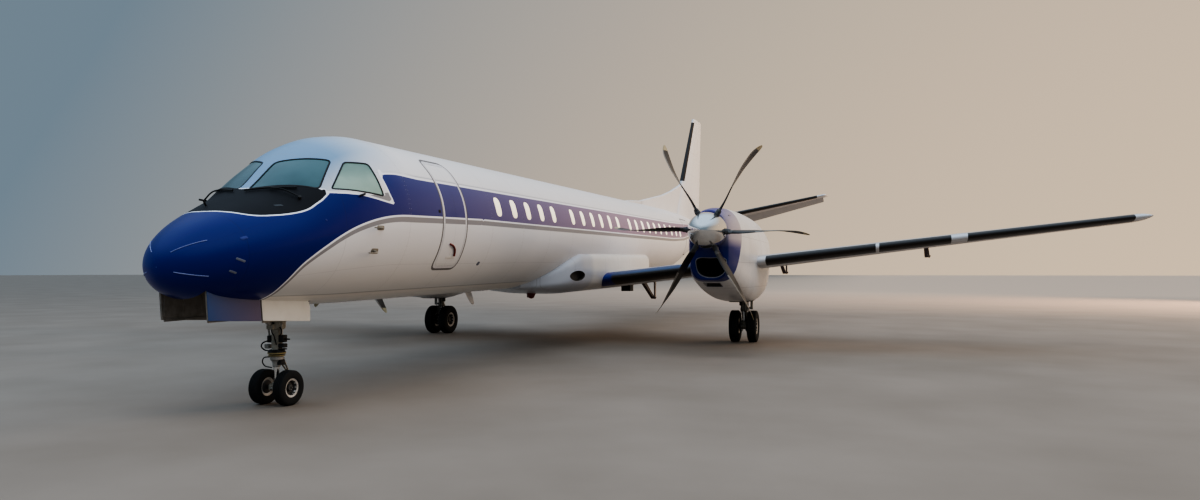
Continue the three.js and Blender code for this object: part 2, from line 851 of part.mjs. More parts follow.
function nacelle() {
  const coolerX = NACELLE_X + COOLER.offset;
  const cooler = box(
    [coolerX - COOLER.halfWidth, NACELLE_FRONT - 100, COOLER.low],
    [coolerX + COOLER.halfWidth, NACELLE_FRONT + COOLER.depth, COOLER.high],
  );
  const bay = box(
    [MAIN_GEAR.x - GEAR_BAY.halfWidth, GEAR_BAY.front, BELOW_ALL],
    [MAIN_GEAR.x + GEAR_BAY.halfWidth, GEAR_BAY.rear, GEAR_BAY.roof],
  );
  const body = fullLoft(NACELLE_SECTIONS, NACELLE_X);
  return cut(body, engineRoom(), intakeRoom(), cooler, bay, liftingBody(WING, SEAM));
}

// Propeller: a spinner over the hub, with six broad swept blades parked edge on to the wind.
const HUB_RADIUS = 362;
const HUB_REAR = NACELLE_FRONT - SWING_GAP;
const SPINNER = [
  [HUB_REAR, 0],
  [HUB_REAR, HUB_RADIUS],
  [6850, 358],
  [6650, 325],
  [6460, 245],
  [6330, 120],
  [6285, 0],
];
const SHANK = { radius: 52, foot: 170, end: 430, sides: 8 };
// Columns: radius, chord, thickness, how far the blade's middle lies forward of the straight line
// through its root and to its side, and its turn from the wind in degrees.
const BLADE_SECTIONS = [
  [SHANK.end, 180, 62, 0, 0, 20],
  [620, 262, 40, 12, 5, 16],
  [950, 345, 30, 36, 30, 9],
  [1150, 365, 26, 35, 45, 4.5],
  [1350, 370, 22, 27, 56, 0.5],
  [1550, 335, 18, -14, 53, -4],
  [1700, 290, 15, -60, 45, -8],
  [1850, 180, 11, -131, 22, -10],
  [PROP_DIAMETER / 2, 60, 8, -163, 11, -11],
];
const BLADE_RING = [
  [-0.5, 0],
  [-0.22, 0.5],
  [0.2, 0.36],
  [0.5, 0],
  [0.2, -0.36],
  [-0.22, -0.5],
];

// A blade that stands along +X from the hub's centre.
function blade() {
  const rings = BLADE_SECTIONS.map(([radius, chord, thick, forward, side, turn]) => {
    const angle = THREE.MathUtils.degToRad(turn);
    return BLADE_RING.map(([a, t]) => {
      const along = a * chord;
      const across = t * thick;
      return [
        radius,
        along * Math.cos(angle) - across * Math.sin(angle) - forward,
        along * Math.sin(angle) + across * Math.cos(angle) + side,
      ];
    });
  });
  const shank = bar([SHANK.foot, 0, 0], [SHANK.end + 40, 0, 0], SHANK.radius, SHANK.sides);
  return join(loft(rings, 0), shank);
}

function bladeAngles() {
  return Array.from({ length: BLADE_COUNT }, (_, i) =>
    THREE.MathUtils.degToRad(BLADE_PHASE + (360 / BLADE_COUNT) * i),
  );
}

function placedAtHub(manifold, angle) {
  const degrees = THREE.MathUtils.radToDeg(-angle);
  return manifold.rotate([0, degrees, 0]).translate([NACELLE_X, PROP_STATION, PROP_HEIGHT]);
}

function spinner() {
  const body = turnedAboutY(SPINNER, [NACELLE_X, 0, PROP_HEIGHT], 18);
  const shaftBore = bar(
    [NACELLE_X, HUB_REAR + 50, PROP_HEIGHT],
    [NACELLE_X, SHAFT_END - SEAM, PROP_HEIGHT],
    boreFor(SHAFT_RADIUS, ROUND_SIDES),
    ROUND_SIDES,
  );
  const socket = bar(
    [SHANK.foot - SEAM, 0, 0],
    [SHANK.end, 0, 0],
    boreFor(SHANK.radius, SHANK.sides),
    SHANK.sides,
  );
  return cut(body, shaftBore, ...bladeAngles().map((angle) => placedAtHub(socket, angle)));
}

// Tail cone pieces.
const DORSAL = { start: 16200, halfWidth: 55, meetStation: 21950, meetHeight: 2470 };

function finBody() {
  const outline = [
    [DORSAL.start, 900],
    [DORSAL.meetStation + 900, 900],
    [DORSAL.meetStation + 900, DORSAL.meetHeight],
    [DORSAL.meetStation, DORSAL.meetHeight],
    [DORSAL.start, FUSELAGE_RADIUS + 20],
  ].map(([s, h]) => [0, s, h]);
  const ridge = prism(outline, [1, 0, 0], DORSAL.halfWidth, DORSAL.halfWidth);
  return join(upright(liftingBody(FIN)), ridge);
}

function upright(manifold) {
  return manifold.rotate([0, -90, 0]);
}

// Landing gear. These pieces stand plumb on the ground, so their heights are from the ground
// and their stations along it. A lug is the half length of the sleeve between a pair's wheels.
const WHEEL_SIDES = 24;
const NOSE_GEAR = {
  x: 0, station: 0, tyreRadius: 220, tyreWidth: 140, out: 185, rim: 116, axle: 28, lug: 84,
  sleeve: 52,
};
const MAIN_GEAR = {
  x: TRACK / 2, station: WHEELBASE, tyreRadius: 375, tyreWidth: 220, out: 210, rim: 188,
  axle: 42, lug: 92, sleeve: 76,
};

// The height of an axle whose tyre stands on one flat of its tread.
function axleHeight(gear) {
  return gear.tyreRadius * Math.cos(Math.PI / WHEEL_SIDES);
}

function wheels(gear) {
  const { x, out, rim, axle, lug, tyreWidth, station } = gear;
  const half = tyreWidth * 0.34;
  // Columns: distance out from the leg, radius.
  const side = [
    [lug + SWING_GAP, axle],
    [out - half, rim],
    [out + half, rim],
    [out + half * 0.4, rim * 0.6],
    [out + half * 0.7, 0],
  ];
  const profile = [...side.map(([a, r]) => [-a, r]).reverse(), ...side];
  return turnedAboutX(profile, [x, station, axleHeight(gear)], WHEEL_SIDES);
}

function tyre(gear, side) {
  const { x, out, tyreRadius, tyreWidth, rim, station } = gear;
  const half = tyreWidth / 2;
  const seat = rim + SEAM * 1.2;
  const depth = tyreRadius - rim;
  const profile = [
    [-half * 0.75, seat],
    [-half, seat + depth * 0.55],
    [-half * 0.7, tyreRadius],
    [half * 0.7, tyreRadius],
    [half, seat + depth * 0.55],
    [half * 0.75, seat],
    [-half * 0.75, seat],
  ];
  return turnedAboutX(profile, [x + side * out, station, axleHeight(gear)], WHEEL_SIDES);
}

// The sleeve that a pair of wheels turns on, and the bore through it.
function axleSleeve(gear) {
  const ends = (grow) =>
    [-1, 1].map((side) => [gear.x + side * (gear.lug + grow), gear.station, axleHeight(gear)]);
  return {
    sleeve: bar(...ends(0), gear.sleeve, ROUND_SIDES),
    bore: bar(...ends(10), boreFor(gear.axle, WHEEL_SIDES), WHEEL_SIDES),
  };
}

function groundHeight(station, height) {
  return AXIS_HEIGHT + station * Math.sin(NOSE_DOWN) + height * Math.cos(NOSE_DOWN);
}

// Bars from a table. Columns: start and end, each as x, distance aft and height, radius, sides.
function frameOf(gear, table) {
  const at = ([x, aft, height]) => [gear.x + x, gear.station + aft, height];
  return join(...table.map(([from, to, radius, sides]) => bar(at(from), at(to), radius, sides)));
}

const MAIN_TRUNNION = groundHeight(MAIN_GEAR.station, GEAR_BAY.roof) - 90;
const MAIN_WALL = GEAR_BAY.halfWidth - SEAM;
const MAIN_KNEE = 600;
const MAIN_LEG_BARS = [
  [[-MAIN_WALL, 0, MAIN_TRUNNION], [MAIN_WALL, 0, MAIN_TRUNNION], 60, 12], // trunnion
  [[0, 0, MAIN_TRUNNION], [0, 0, 720], 80, ROUND_SIDES], // cylinder
  [[0, 0, 780], [0, 0, axleHeight(MAIN_GEAR)], 52, 12], // sliding tube
  [[0, 0, 860], [0, -560, MAIN_TRUNNION - 30], 34, 8], // drag brace
  [[180, 0, MAIN_TRUNNION], [180, 0, 770], 32, 8], // side strut
  [[180, 0, 800], [0, 0, 800], 26, 8],
  [[0, 0, 760], [0, 210, MAIN_KNEE], 22, 8], // torque links
  [[0, 210, MAIN_KNEE], [0, 0, axleHeight(MAIN_GEAR) + 40], 22, 8],
];

function mainLeg() {
  const { sleeve, bore } = axleSleeve(MAIN_GEAR);
  return cut(join(frameOf(MAIN_GEAR, MAIN_LEG_BARS), sleeve), bore);
}

const NOSE_COLLAR = 645;
const NOSE_SPIGOT = { radius: 52, depth: 130 };
const NOSE_TRUNNION = 1640;
const NOSE_WALL = NOSE_BAY.halfWidth - SEAM;
const NOSE_SHOULDER = NOSE_COLLAR - 12 - SWING_GAP;
const NOSE_LEG_BARS = [
  [[-NOSE_WALL, 0, NOSE_TRUNNION], [NOSE_WALL, 0, NOSE_TRUNNION], 45, 12], // trunnion
  [[0, 0, NOSE_TRUNNION], [0, 0, 900], 105, ROUND_SIDES], // cylinder
  [[0, 0, 920], [0, 0, NOSE_COLLAR], 82, ROUND_SIDES],
  [[0, 0, NOSE_COLLAR + 18], [0, 0, NOSE_COLLAR - 12], 112, ROUND_SIDES], // steering collar
  [[0, 0, 980], [0, -1000, NOSE_TRUNNION + 20], 32, 8], // drag brace
  [[-NOSE_WALL, -1000, NOSE_TRUNNION + 20], [NOSE_WALL, -1000, NOSE_TRUNNION + 20], 30, 8],
];
const NOSE_LOWER_BARS = [
  [[0, 0, NOSE_COLLAR + NOSE_SPIGOT.depth], [0, 0, 590], NOSE_SPIGOT.radius, ROUND_SIDES],
  [[0, 0, NOSE_SHOULDER], [0, 0, NOSE_SHOULDER - 75], 92, ROUND_SIDES],
  [[0, 0, NOSE_SHOULDER - 40], [0, 0, axleHeight(NOSE_GEAR)], 40, 12], // sliding tube
  [[0, 0, 570], [0, 190, 405], 22, 8], // torque links
  [[0, 190, 405], [0, 0, axleHeight(NOSE_GEAR) + 25], 22, 8],
];

function noseLeg() {
  const socket = bar(
    [0, 0, NOSE_COLLAR - 50],
    [0, 0, NOSE_COLLAR + NOSE_SPIGOT.depth + SEAM],
    boreFor(NOSE_SPIGOT.radius, ROUND_SIDES),
    ROUND_SIDES,
  );
  return cut(frameOf(NOSE_GEAR, NOSE_LEG_BARS), socket);
}

function noseLowerLeg() {
  const { half, front, low, high } = TOW_LUG;
  const { sleeve, bore } = axleSleeve(NOSE_GEAR);
  const lug = box([-half, front, low], [half, 0, high]);
  return cut(join(frameOf(NOSE_GEAR, NOSE_LOWER_BARS), lug, sleeve), bore);
}

// The assembly.
const part = new THREE.Group();
const airframe = new THREE.Group();
airframe.position.set(0, -ORIGIN_STATION, AXIS_HEIGHT);
airframe.rotation.x = NOSE_DOWN;
const gear = new THREE.Group();
gear.position.set(0, -ORIGIN_STATION, 0);
part.add(airframe, gear);

function add(group, name, manifold, colour) {
  const [color, roughness, metalness] = COLOURS[colour];
  const material = new THREE.MeshStandardMaterial({ color, roughness, metalness });
  const mesh = new THREE.Mesh(geometryOf(manifold), material);
  mesh.name = name;
  group.add(mesh);
}

function addPair(group, name, manifold, colour) {
  add(group, `${name}_left`, manifold, colour);
  add(group, `${name}_right`, mirrored(manifold), colour);
}

function addFuselage() {
  const panes = [windshield, sideWindow].flatMap(({ port, starboard }) => [
    port.pocket,
    starboard.pocket,
  ]);
  const gap = SEAM / 2;
  const forward = fuselage(RADOME_JOINT + gap, CABIN_FRONT - gap);
  const doors = [passengerDoor.pocket, serviceDoor.pocket];
  add(airframe, "radome", cut(fuselage(NOSE_TIP, RADOME_JOINT - gap), noseBay()), "blue");
  const shell = cut(forward, noseBay(), ...panes, ...doors);
  add(airframe, "forward_fuselage", join(shell, noseJackPad()), "white");
  add(airframe, "cabin_fuselage", fuselage(CABIN_FRONT + gap, CABIN_REAR - gap), "white");
  const aft = fuselage(CABIN_REAR + gap, TAIL_END);
  const rudderPin = upright(rudder.room);
  add(airframe, "aft_fuselage", cut(aft, cargoDoor.pocket, rudderPin), "white");
  for (const [name, pair] of [
    ["windshield", windshield],
    ["side_window", sideWindow],
  ]) {
    add(airframe, `${name}_left`, pair.port.piece, "glass");
    add(airframe, `${name}_right`, pair.starboard.piece, "glass");
  }
  add(airframe, "passenger_door", passengerDoor.piece, "white");
  add(airframe, "service_door", serviceDoor.piece, "white");
  add(airframe, "cargo_door", cargoDoor.piece, "white");
  addPair(airframe, "nose_gear_door", noseDoors(), "blue");
}

function addWing() {
  const fairing = (grow) => fullLoft(FAIRING_SECTIONS, 0, grow, FAIRING_FULLNESS);
  add(airframe, "wing_fairing", cut(fairing(0), RAISED), "white");
  const flaps = { inboard: flap(FLAP_INBOARD), outboard: flap(FLAP_OUTBOARD) };
  const aileron = trailingSurface(WING, AILERON);
  const rooms = [flaps.inboard.room, flaps.outboard.room, aileron.room];
  const { brackets } = flaps.inboard;
  const bare = join(cut(liftingBody(WING), ...rooms), wingJackPad());
  const whole = join(bare, brackets, flaps.outboard.brackets);
  add(airframe, "wing_left", cut(whole, fairing(SEAM), RAISED), "grey");
  add(airframe, "wing_right", cut(mirrored(whole), fairing(SEAM), RAISED), "grey");
  addPair(airframe, "flap_inboard", flaps.inboard.piece, "grey");
  addPair(airframe, "flap_outboard", flaps.outboard.piece, "grey");
  addPair(airframe, "aileron", aileron.piece, "grey");
}

function addPropulsion() {
  addPair(airframe, "nacelle", nacelle(), "white");
  addPair(airframe, "engine", engine(), "steel");
  const hub = spinner();
  add(airframe, "spinner_left", hub, "polished");
  add(airframe, "spinner_right", hub.translate([-2 * NACELLE_X, 0, 0]), "polished");
  bladeAngles().forEach((angle, i) => {
    const piece = placedAtHub(blade(), angle);
    add(airframe, `blade_left_${i + 1}`, piece, "boot");
    add(airframe, `blade_right_${i + 1}`, piece.translate([-2 * NACELLE_X, 0, 0]), "boot");
  });
}

function addTail() {
  const elevator = trailingSurface(TAILPLANE, ELEVATOR);
  add(airframe, "fin", cut(finBody(), upright(rudder.room), RAISED), "white");
  add(airframe, "rudder", upright(rudder.piece), "white");
  const whole = cut(liftingBody(TAILPLANE), elevator.room);
  add(airframe, "tailplane_left", cut(whole, RAISED), "grey");
  add(airframe, "tailplane_right", cut(mirrored(whole), RAISED), "grey");
  addPair(airframe, "elevator", elevator.piece, "grey");
}

function addGear() {
  add(gear, "nose_leg", noseLeg(), "gear");
  add(gear, "nose_lower_leg", noseLowerLeg(), "gear");
  add(gear, "nose_wheels", wheels(NOSE_GEAR), "gear");
  addPair(gear, "nose_tyre", tyre(NOSE_GEAR, 1), "rubber");
  addPair(gear, "main_leg", mainLeg(), "gear");
  addPair(gear, "main_wheels", wheels(MAIN_GEAR), "gear");
  addPair(gear, "main_tyre_inner", tyre(MAIN_GEAR, -1), "rubber");
  addPair(gear, "main_tyre_outer", tyre(MAIN_GEAR, 1), "rubber");
}

const rudder = trailingSurface(FIN, RUDDER);
addFuselage();
addWing();
addPropulsion();
addTail();
addGear();

export default part;
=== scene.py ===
"""Looks for a fifty-seat twin turboprop airliner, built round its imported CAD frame."""

import logging
import math
from dataclasses import dataclass, field, replace
from enum import Enum
from typing import Iterable, Optional, Sequence

import bmesh
import bpy
import numpy as np
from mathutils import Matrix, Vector, kdtree

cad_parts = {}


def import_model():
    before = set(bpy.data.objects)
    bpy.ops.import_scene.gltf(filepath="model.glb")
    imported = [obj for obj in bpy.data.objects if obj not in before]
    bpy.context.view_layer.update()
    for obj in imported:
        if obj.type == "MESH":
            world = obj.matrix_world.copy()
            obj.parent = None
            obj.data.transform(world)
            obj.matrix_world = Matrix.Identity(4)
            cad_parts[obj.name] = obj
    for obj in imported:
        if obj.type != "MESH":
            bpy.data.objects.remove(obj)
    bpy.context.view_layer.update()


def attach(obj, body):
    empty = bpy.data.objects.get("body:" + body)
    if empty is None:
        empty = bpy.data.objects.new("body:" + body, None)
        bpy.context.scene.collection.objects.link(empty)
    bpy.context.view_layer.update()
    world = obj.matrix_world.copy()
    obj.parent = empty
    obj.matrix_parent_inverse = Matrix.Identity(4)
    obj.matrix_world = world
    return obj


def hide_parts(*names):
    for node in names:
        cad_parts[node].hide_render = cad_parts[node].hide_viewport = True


LOG = logging.getLogger("airliner")

# The parked attitude: stations run aft from the nose wheel axle, heights up from the cabin's axis.
NOSE_DOWN = 0.01606
AXIS_HEIGHT = 2.374
ORIGIN_STATION = 11.84
NACELLE_X = 4.058
MAIN_GEAR_X = 4.115
TAU = 2 * math.pi

Points = np.ndarray
Faces = list
Piece = bpy.types.Object
Paint = bpy.types.Material
Socket = bpy.types.NodeSocket
Value = Socket | float | tuple
Row = Sequence[float]
Rows = Sequence[Sequence[float]]
AXIS_X, AXIS_Y, AXIS_Z = np.eye(3)


class Side(Enum):
    """A side of the aircraft, valued by the sign of x."""

    LEFT = 1
    RIGHT = -1

    @property
    def word(self) -> str:
        """The side's name inside a piece name."""
        return self.name.lower()


class Frame(Enum):
    """What a table of points is measured in."""

    BODY = "body"
    GROUND = "ground"


# Points and curves.


def to_row(points: Points, frame: Frame = Frame.BODY) -> Points:
    """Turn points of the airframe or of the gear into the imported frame.

    Args:
        points: Rows of x, station aft and height, in metres.
        frame: Whether heights count from the cabin's axis or from the ground.

    Returns:
        Rows of x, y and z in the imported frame.
    """
    p = np.asarray(points, float)
    if frame is Frame.GROUND:
        return p + np.array([0.0, -ORIGIN_STATION, 0.0])
    c, s = math.cos(NOSE_DOWN), math.sin(NOSE_DOWN)
    out = p.copy()
    out[..., 1] = -ORIGIN_STATION + p[..., 1] * c - p[..., 2] * s
    out[..., 2] = AXIS_HEIGHT + p[..., 1] * s + p[..., 2] * c
    return out


def to_body(points: Points) -> Points:
    """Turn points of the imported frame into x, station and height of the airframe.

    Args:
        points: Rows of x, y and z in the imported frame.

    Returns:
        Rows of x, station aft and height over the cabin's axis.
    """
    p = np.asarray(points, float)
    c, s = math.cos(NOSE_DOWN), math.sin(NOSE_DOWN)
    y, z = p[..., 1] + ORIGIN_STATION, p[..., 2] - AXIS_HEIGHT
    out = p.copy()
    out[..., 1] = y * c + z * s
    out[..., 2] = -y * s + z * c
    return out


def monotone(xs: Points, ys: Points, at: Points) -> Points:
    """Read a smooth curve through a table without overshoot.

    Args:
        xs: The table's places, rising.
        ys: The value at each place.
        at: The places wanted.

    Returns:
        The value at each wanted place.
    """
    xs, ys, at = np.asarray(xs, float), np.asarray(ys, float), np.asarray(at, float)
    step, rise = np.diff(xs), np.diff(ys)
    slope = rise / step
    tangent = np.empty_like(ys)
    tangent[0], tangent[-1] = slope[0], slope[-1]
    both = slope[:-1] * slope[1:] > 0
    w1, w2 = 2 * step[1:] + step[:-1], step[1:] + 2 * step[:-1]
    safe = np.where(both, slope[:-1], 1.0), np.where(both, slope[1:], 1.0)
    tangent[1:-1] = np.where(both, (w1 + w2) / (w1 / safe[0] + w2 / safe[1]), 0.0)
    i = np.clip(np.searchsorted(xs, at) - 1, 0, len(step) - 1)
    t = np.clip((at - xs[i]) / step[i], 0.0, 1.0)
    h, a, b = step[i], ys[i], ys[i + 1]
    return (
        a * (1 + 2 * t) * (1 - t) ** 2
        + h * tangent[i] * t * (1 - t) ** 2
        + b * t * t * (3 - 2 * t)
        + h * tangent[i + 1] * t * t * (t - 1)
    )


def curve(points: Rows, steps: int = 8) -> Points:
    """More points on a smooth curve through a few."""
    p = np.asarray(points, float)
    p = np.concatenate([[2 * p[0] - p[1]], p, [2 * p[-1] - p[-2]]])
    found = []
    for a, b, c, d in zip(p, p[1:], p[2:], p[3:]):
        for t in np.linspace(0, 1, steps, endpoint=False):
            bend = (2 * a - 5 * b + 4 * c - d) * t**2 + (3 * b - a - 3 * c + d) * t**3
            found.append(0.5 * (2 * b + (c - a) * t + bend))
    return np.array([*found, p[-2]])


def rounded(outline: Rows, radius: float, steps: int = 5) -> Points:
    """Round the corners of a flat outline.

    Args:
        outline: The corners in order, as rows of two values.
        radius: How far from a corner the rounding starts.
        steps: Points along each rounded corner.

    Returns:
        The rounded outline, as rows of two values.
    """
    p = np.asarray(outline, float)
    found = []
    for i in range(len(p)):
        before, here, after = p[i - 1], p[i], p[(i + 1) % len(p)]
        reach = [min(radius, np.linalg.norm(q - here) * 0.45) for q in (before, after)]
        start = here + (before - here) / np.linalg.norm(before - here) * reach[0]
        end = here + (after - here) / np.linalg.norm(after - here) * reach[1]
        for k in range(steps + 1):
            t = k / steps
            found.append((1 - t) ** 2 * start + 2 * t * (1 - t) * here + t * t * end)
    return np.array(found)


def offset_outline(outline: Points, amount: float) -> Points:
    """Move a flat outline outwards by an even distance.

    Args:
        outline: The outline's points in order, as rows of two values.
        amount: How far out, or in if it is negative.

    Returns:
        The moved outline.
    """
    ahead, behind = np.roll(outline, -1, 0), np.roll(outline, 1, 0)
    way = ahead - behind
    way /= np.maximum(np.linalg.norm(way, axis=1, keepdims=True), 1e-9)
    area = np.sum(outline[:, 0] * ahead[:, 1] - ahead[:, 0] * outline[:, 1])
    normal = np.stack([way[:, 1], -way[:, 0]], 1) * (1 if area > 0 else -1)
    return outline + normal * amount


def inside_polygon(points: Points, polygon: Points) -> Points:
    """Say which points lie inside a flat polygon.

    Args:
        points: Rows of two values.
        polygon: The polygon's corners in order.

    Returns:
        One truth value for each point.
    """
    x, y = points[:, 0], points[:, 1]
    inside = np.zeros(len(points), bool)
    for a, b in zip(polygon, np.roll(polygon, -1, 0)):
        crosses = (a[1] > y) != (b[1] > y)
        drop = b[1] - a[1] if b[1] != a[1] else 1e-12
        inside ^= crosses & (x < (b[0] - a[0]) * (y - a[1]) / drop + a[0])
    return inside


def rectangle(a: float, b: float, c: float, d: float) -> list[tuple[float, float]]:
    """The corners of a flat rectangle from one corner to the opposite one."""
    return [(a, b), (c, b), (c, d), (a, d)]


def hoop(across: Points, other: Points, sides: int, shift: float = 0.0) -> Points:
    """Points round an ellipse about the origin, from its two half axes."""
    turn = TAU * (np.arange(sides) + shift) / sides
    return np.outer(np.cos(turn), across) + np.outer(np.sin(turn), other)


# Meshes.


def add_object(name: str, data: bpy.types.ID) -> Piece:
    """Make an object round its data and link it to the scene."""
    made = bpy.data.objects.new(name, data)
    bpy.context.scene.collection.objects.link(made)
    return made


def make_object(name: str, verts: Points, faces: Iterable) -> Piece:
    """Make an object at the origin from points and faces.

    Args:
        name: The piece's name.
        verts: Rows of x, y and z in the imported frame.
        faces: Lists of point numbers.

    Returns:
        The new object, linked to the scene.
    """
    mesh = bpy.data.meshes.new(name)
    mesh.from_pydata(np.asarray(verts).tolist(), [], [list(f) for f in faces])
    mesh.validate()
    return add_object(name, mesh)


def outward(piece: Piece) -> Piece:
    """Merge a closed mesh's doubles and turn its faces outwards."""
    work = bmesh.new()
    work.from_mesh(piece.data)
    bmesh.ops.remove_doubles(work, verts=work.verts, dist=1e-6)
    bmesh.ops.dissolve_degenerate(work, dist=1e-7, edges=work.edges)
    bmesh.ops.recalc_face_normals(work, faces=work.faces)
    if work.calc_volume(signed=True) < 0:
        bmesh.ops.reverse_faces(work, faces=work.faces)
    work.to_mesh(piece.data)
    work.free()
    return piece


def smooth(piece: Piece, degrees: float = 30.0) -> Piece:
    """Shade a mesh smooth, but keep the edges that turn by more than an angle."""
    piece.data.shade_smooth()
    piece.data.set_sharp_from_angle(angle=math.radians(degrees))
    return piece


def skin_over(rings: Sequence[Points], closed: bool = True) -> tuple[Points, Faces]:
    """Lay a skin over rings of points.

    Args:
        rings: The rings, all of one length.
        closed: Whether the first and the last ring are capped.

    Returns:
        The points and the faces.
    """
    size = len(rings[0])
    faces: Faces = []
    for r in range(len(rings) - 1):
        for i in range(size):
            j = (i + 1) % size
            a, b = r * size, (r + 1) * size
            faces.append((a + i, a + j, b + j, b + i))
    if closed:
        faces.append(tuple(range(size))[::-1])
        last = (len(rings) - 1) * size
        faces.append(tuple(range(last, last + size)))
    return np.concatenate(rings), faces


def loft(
    name: str, rings: Sequence[Points], frame: Frame = Frame.BODY, closed: bool = True
) -> Piece:
    """Make a piece over rings of points, with its faces outwards.

    Args:
        name: The object's name.
        rings: The rings, all of one length.
        frame: What they are measured in.
        closed: Whether the ends are capped, unless the last ring is the first again.

    Returns:
        The piece.
    """
    verts, faces = skin_over(rings, closed)
    return outward(make_object(name, to_row(verts, frame), faces))


def box(name: str, low: Row, high: Row) -> Piece:
    """A box between two corners in airframe points."""
    (x0, s0, h0), (x1, s1, h1) = low, high
    flat = rectangle(x0, h0, x1, h1)
    return loft(name, [np.array([(x, s, h) for x, h in flat]) for s in (s0, s1)])


def prism(name: str, outline: Points, way: Row, reach: float) -> Piece:
    """Push an outline of airframe points both ways along a direction.

    Args:
        name: The object's name.
        outline: Rows of x, station and height.
        way: The direction.
        reach: How far it goes each way.

    Returns:
        The closed prism.
    """
    step = np.asarray(way, float) / np.linalg.norm(way) * reach
    return loft(name, [outline - step, outline + step])


def joined(name: str, pieces: Sequence[Piece]) -> Piece:
    """Put several meshes into one object, keeping their materials."""
    work = bmesh.new()
    materials: list = []
    for piece in pieces:
        start = len(work.faces)
        work.from_mesh(piece.data)
        work.faces.ensure_lookup_table()
        slots = list(piece.data.materials) or [None]
        for f in work.faces[start:]:
            finish = slots[min(f.material_index, len(slots) - 1)]
            if finish not in materials:
                materials.append(finish)
            f.material_index = materials.index(finish)
    mesh = bpy.data.meshes.new(name)
    work.to_mesh(mesh)
    work.free()
    for finish in materials:
        if finish is not None:
            mesh.materials.append(finish)
    made = add_object(name, mesh)
    drop(*pieces)
    return made


def drop(*pieces: Piece) -> None:
    """Remove objects that were only tools."""
    for piece in pieces:
        bpy.data.objects.remove(piece, do_unlink=True)


class Cut(Enum):
    """What a tool does to a body."""

    TAKE_AWAY = "DIFFERENCE"
    KEEP_COMMON = "INTERSECT"
    ADD = "UNION"


def settled(piece: Piece) -> Piece:
    """Turn a piece's modifiers into its plain mesh."""
    graph = bpy.context.evaluated_depsgraph_get()
    mesh = bpy.data.meshes.new_from_object(piece.evaluated_get(graph))
    piece.modifiers.clear()
    old = piece.data
    piece.data = mesh
    if old.users == 0:
        bpy.data.meshes.remove(old)
    piece.data.name = piece.name
    return piece


def carve(
    body: Piece,
    tools: Sequence[Piece],
    how: Cut = Cut.TAKE_AWAY,
) -> Piece:
    """Cut a closed body with closed tools.

    Args:
        body: The piece that is cut.
        tools: What cuts it.
        how: Whether the tools are taken away, kept in common or added.

    Returns:
        The body with its new mesh.
    """
    for tool in tools:
        step = body.modifiers.new("cut", "BOOLEAN")
        step.operation = how.value
        step.solver = "MANIFOLD"
        step.object = tool
    settled(body)
    drop(*tools)
    return body


def copy_of(piece: Piece, name: str) -> Piece:
    """Copy an object and its mesh under a new name."""
    return add_object(name, piece.data.copy())


def mirrored(piece: Piece, name: str) -> Piece:
    """Copy a closed piece to the other side of the aircraft.

    Args:
        piece: The piece on the port side.
        name: The copy's name.

    Returns:
        The copy, with its faces outwards.
    """
    made = copy_of(piece, name)
    mesh = made.data
    co = np.empty(len(mesh.vertices) * 3, np.float32)
    mesh.vertices.foreach_get("co", co)
    co[0::3] *= -1
    mesh.vertices.foreach_set("co", co)
    mesh.flip_normals()
    mesh.update()
    return made


def corners_of(piece: Piece) -> Points:
    """The points of a piece's mesh, as rows of x, y and z."""
    co = np.empty(len(piece.data.vertices) * 3)
    piece.data.vertices.foreach_get("co", co)
    return co.reshape(-1, 3)


def mark(piece: Piece, name: str, values: Points) -> None:
    """Store one number for each point of a mesh under a name."""
    held = piece.data.attributes.get(name)
    if held is None:
        held = piece.data.attributes.new(name, "FLOAT", "POINT")
    held.data.foreach_set("value", np.asarray(values, np.float32))


def coat(piece: Piece, finish: Paint) -> Piece:
    """Give a whole piece one finish."""
    piece.data.materials.clear()
    piece.data.materials.append(finish)
    return piece


def bar(
    name: str,
    path: Rows,
    radii: Row,
    frame: Frame = Frame.GROUND,
    sides: int = 20,
) -> Piece:
    """Make a round bar along a path, with one radius for each point.

    Args:
        name: The object's name.
        path: Rows of x, distance aft and height.
        radii: The radius at each point of the path.
        frame: What the path is measured in.
        sides: Sides round the bar.

    Returns:
        The closed bar.
    """
    p = np.asarray(path, float)
    rings, across = [], None
    for i in range(len(p)):
        way = p[min(i + 1, len(p) - 1)] - p[max(i - 1, 0)]
        length = np.linalg.norm(way)
        if length < 1e-9:
            way, length = p[-1] - p[0], np.linalg.norm(p[-1] - p[0])
        way = way / length
        if across is None:
            across = np.cross(way, AXIS_X if abs(way[0]) < 0.9 else AXIS_Y)
        across = across - way * np.dot(across, way)
        across /= np.linalg.norm(across)
        rings.append(p[i] + radii[i] * hoop(across, np.cross(way, across), sides))
    return loft(name, rings, frame)


def turned(
    name: str,
    profile: Rows,
    centre: Row,
    axis: int,
    frame: Frame,
    sides: int = 48,
) -> Piece:
    """Turn a profile about a line along one of the frame's axes.

    Args:
        name: The object's name.
        profile: Rows of distance along the axis and radius.
        centre: Where the profile's zero lies.
        axis: 0 for x, 1 for the line aft or 2 for upright.
        frame: What the centre is measured in.
        sides: Steps round the axis.

    Returns:
        The closed piece.
    """
    way, (across, other) = np.eye(3)[axis], np.delete(np.eye(3), axis, 0)
    flat = hoop(across, other, sides, 0.5)
    return loft(name, [centre + a * way + max(r, 1e-5) * flat for a, r in profile], frame)


def ride_on(piece: Piece, body: str, slot: str, *nodes: str) -> Piece:
    """Tie a finished piece to its body, and hide the CAD nodes that it stands for.

    Args:
        piece: The finished piece.
        body: The CAD body that it moves with.
        slot: The record's material slot; not used.
        nodes: The CAD nodes that it stands for.

    Returns:
        The piece.
    """
    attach(piece, body)
    if nodes:
        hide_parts(*nodes)
    LOG.info("%s: %d faces on %s", piece.name, len(piece.data.polygons), body)
    return piece


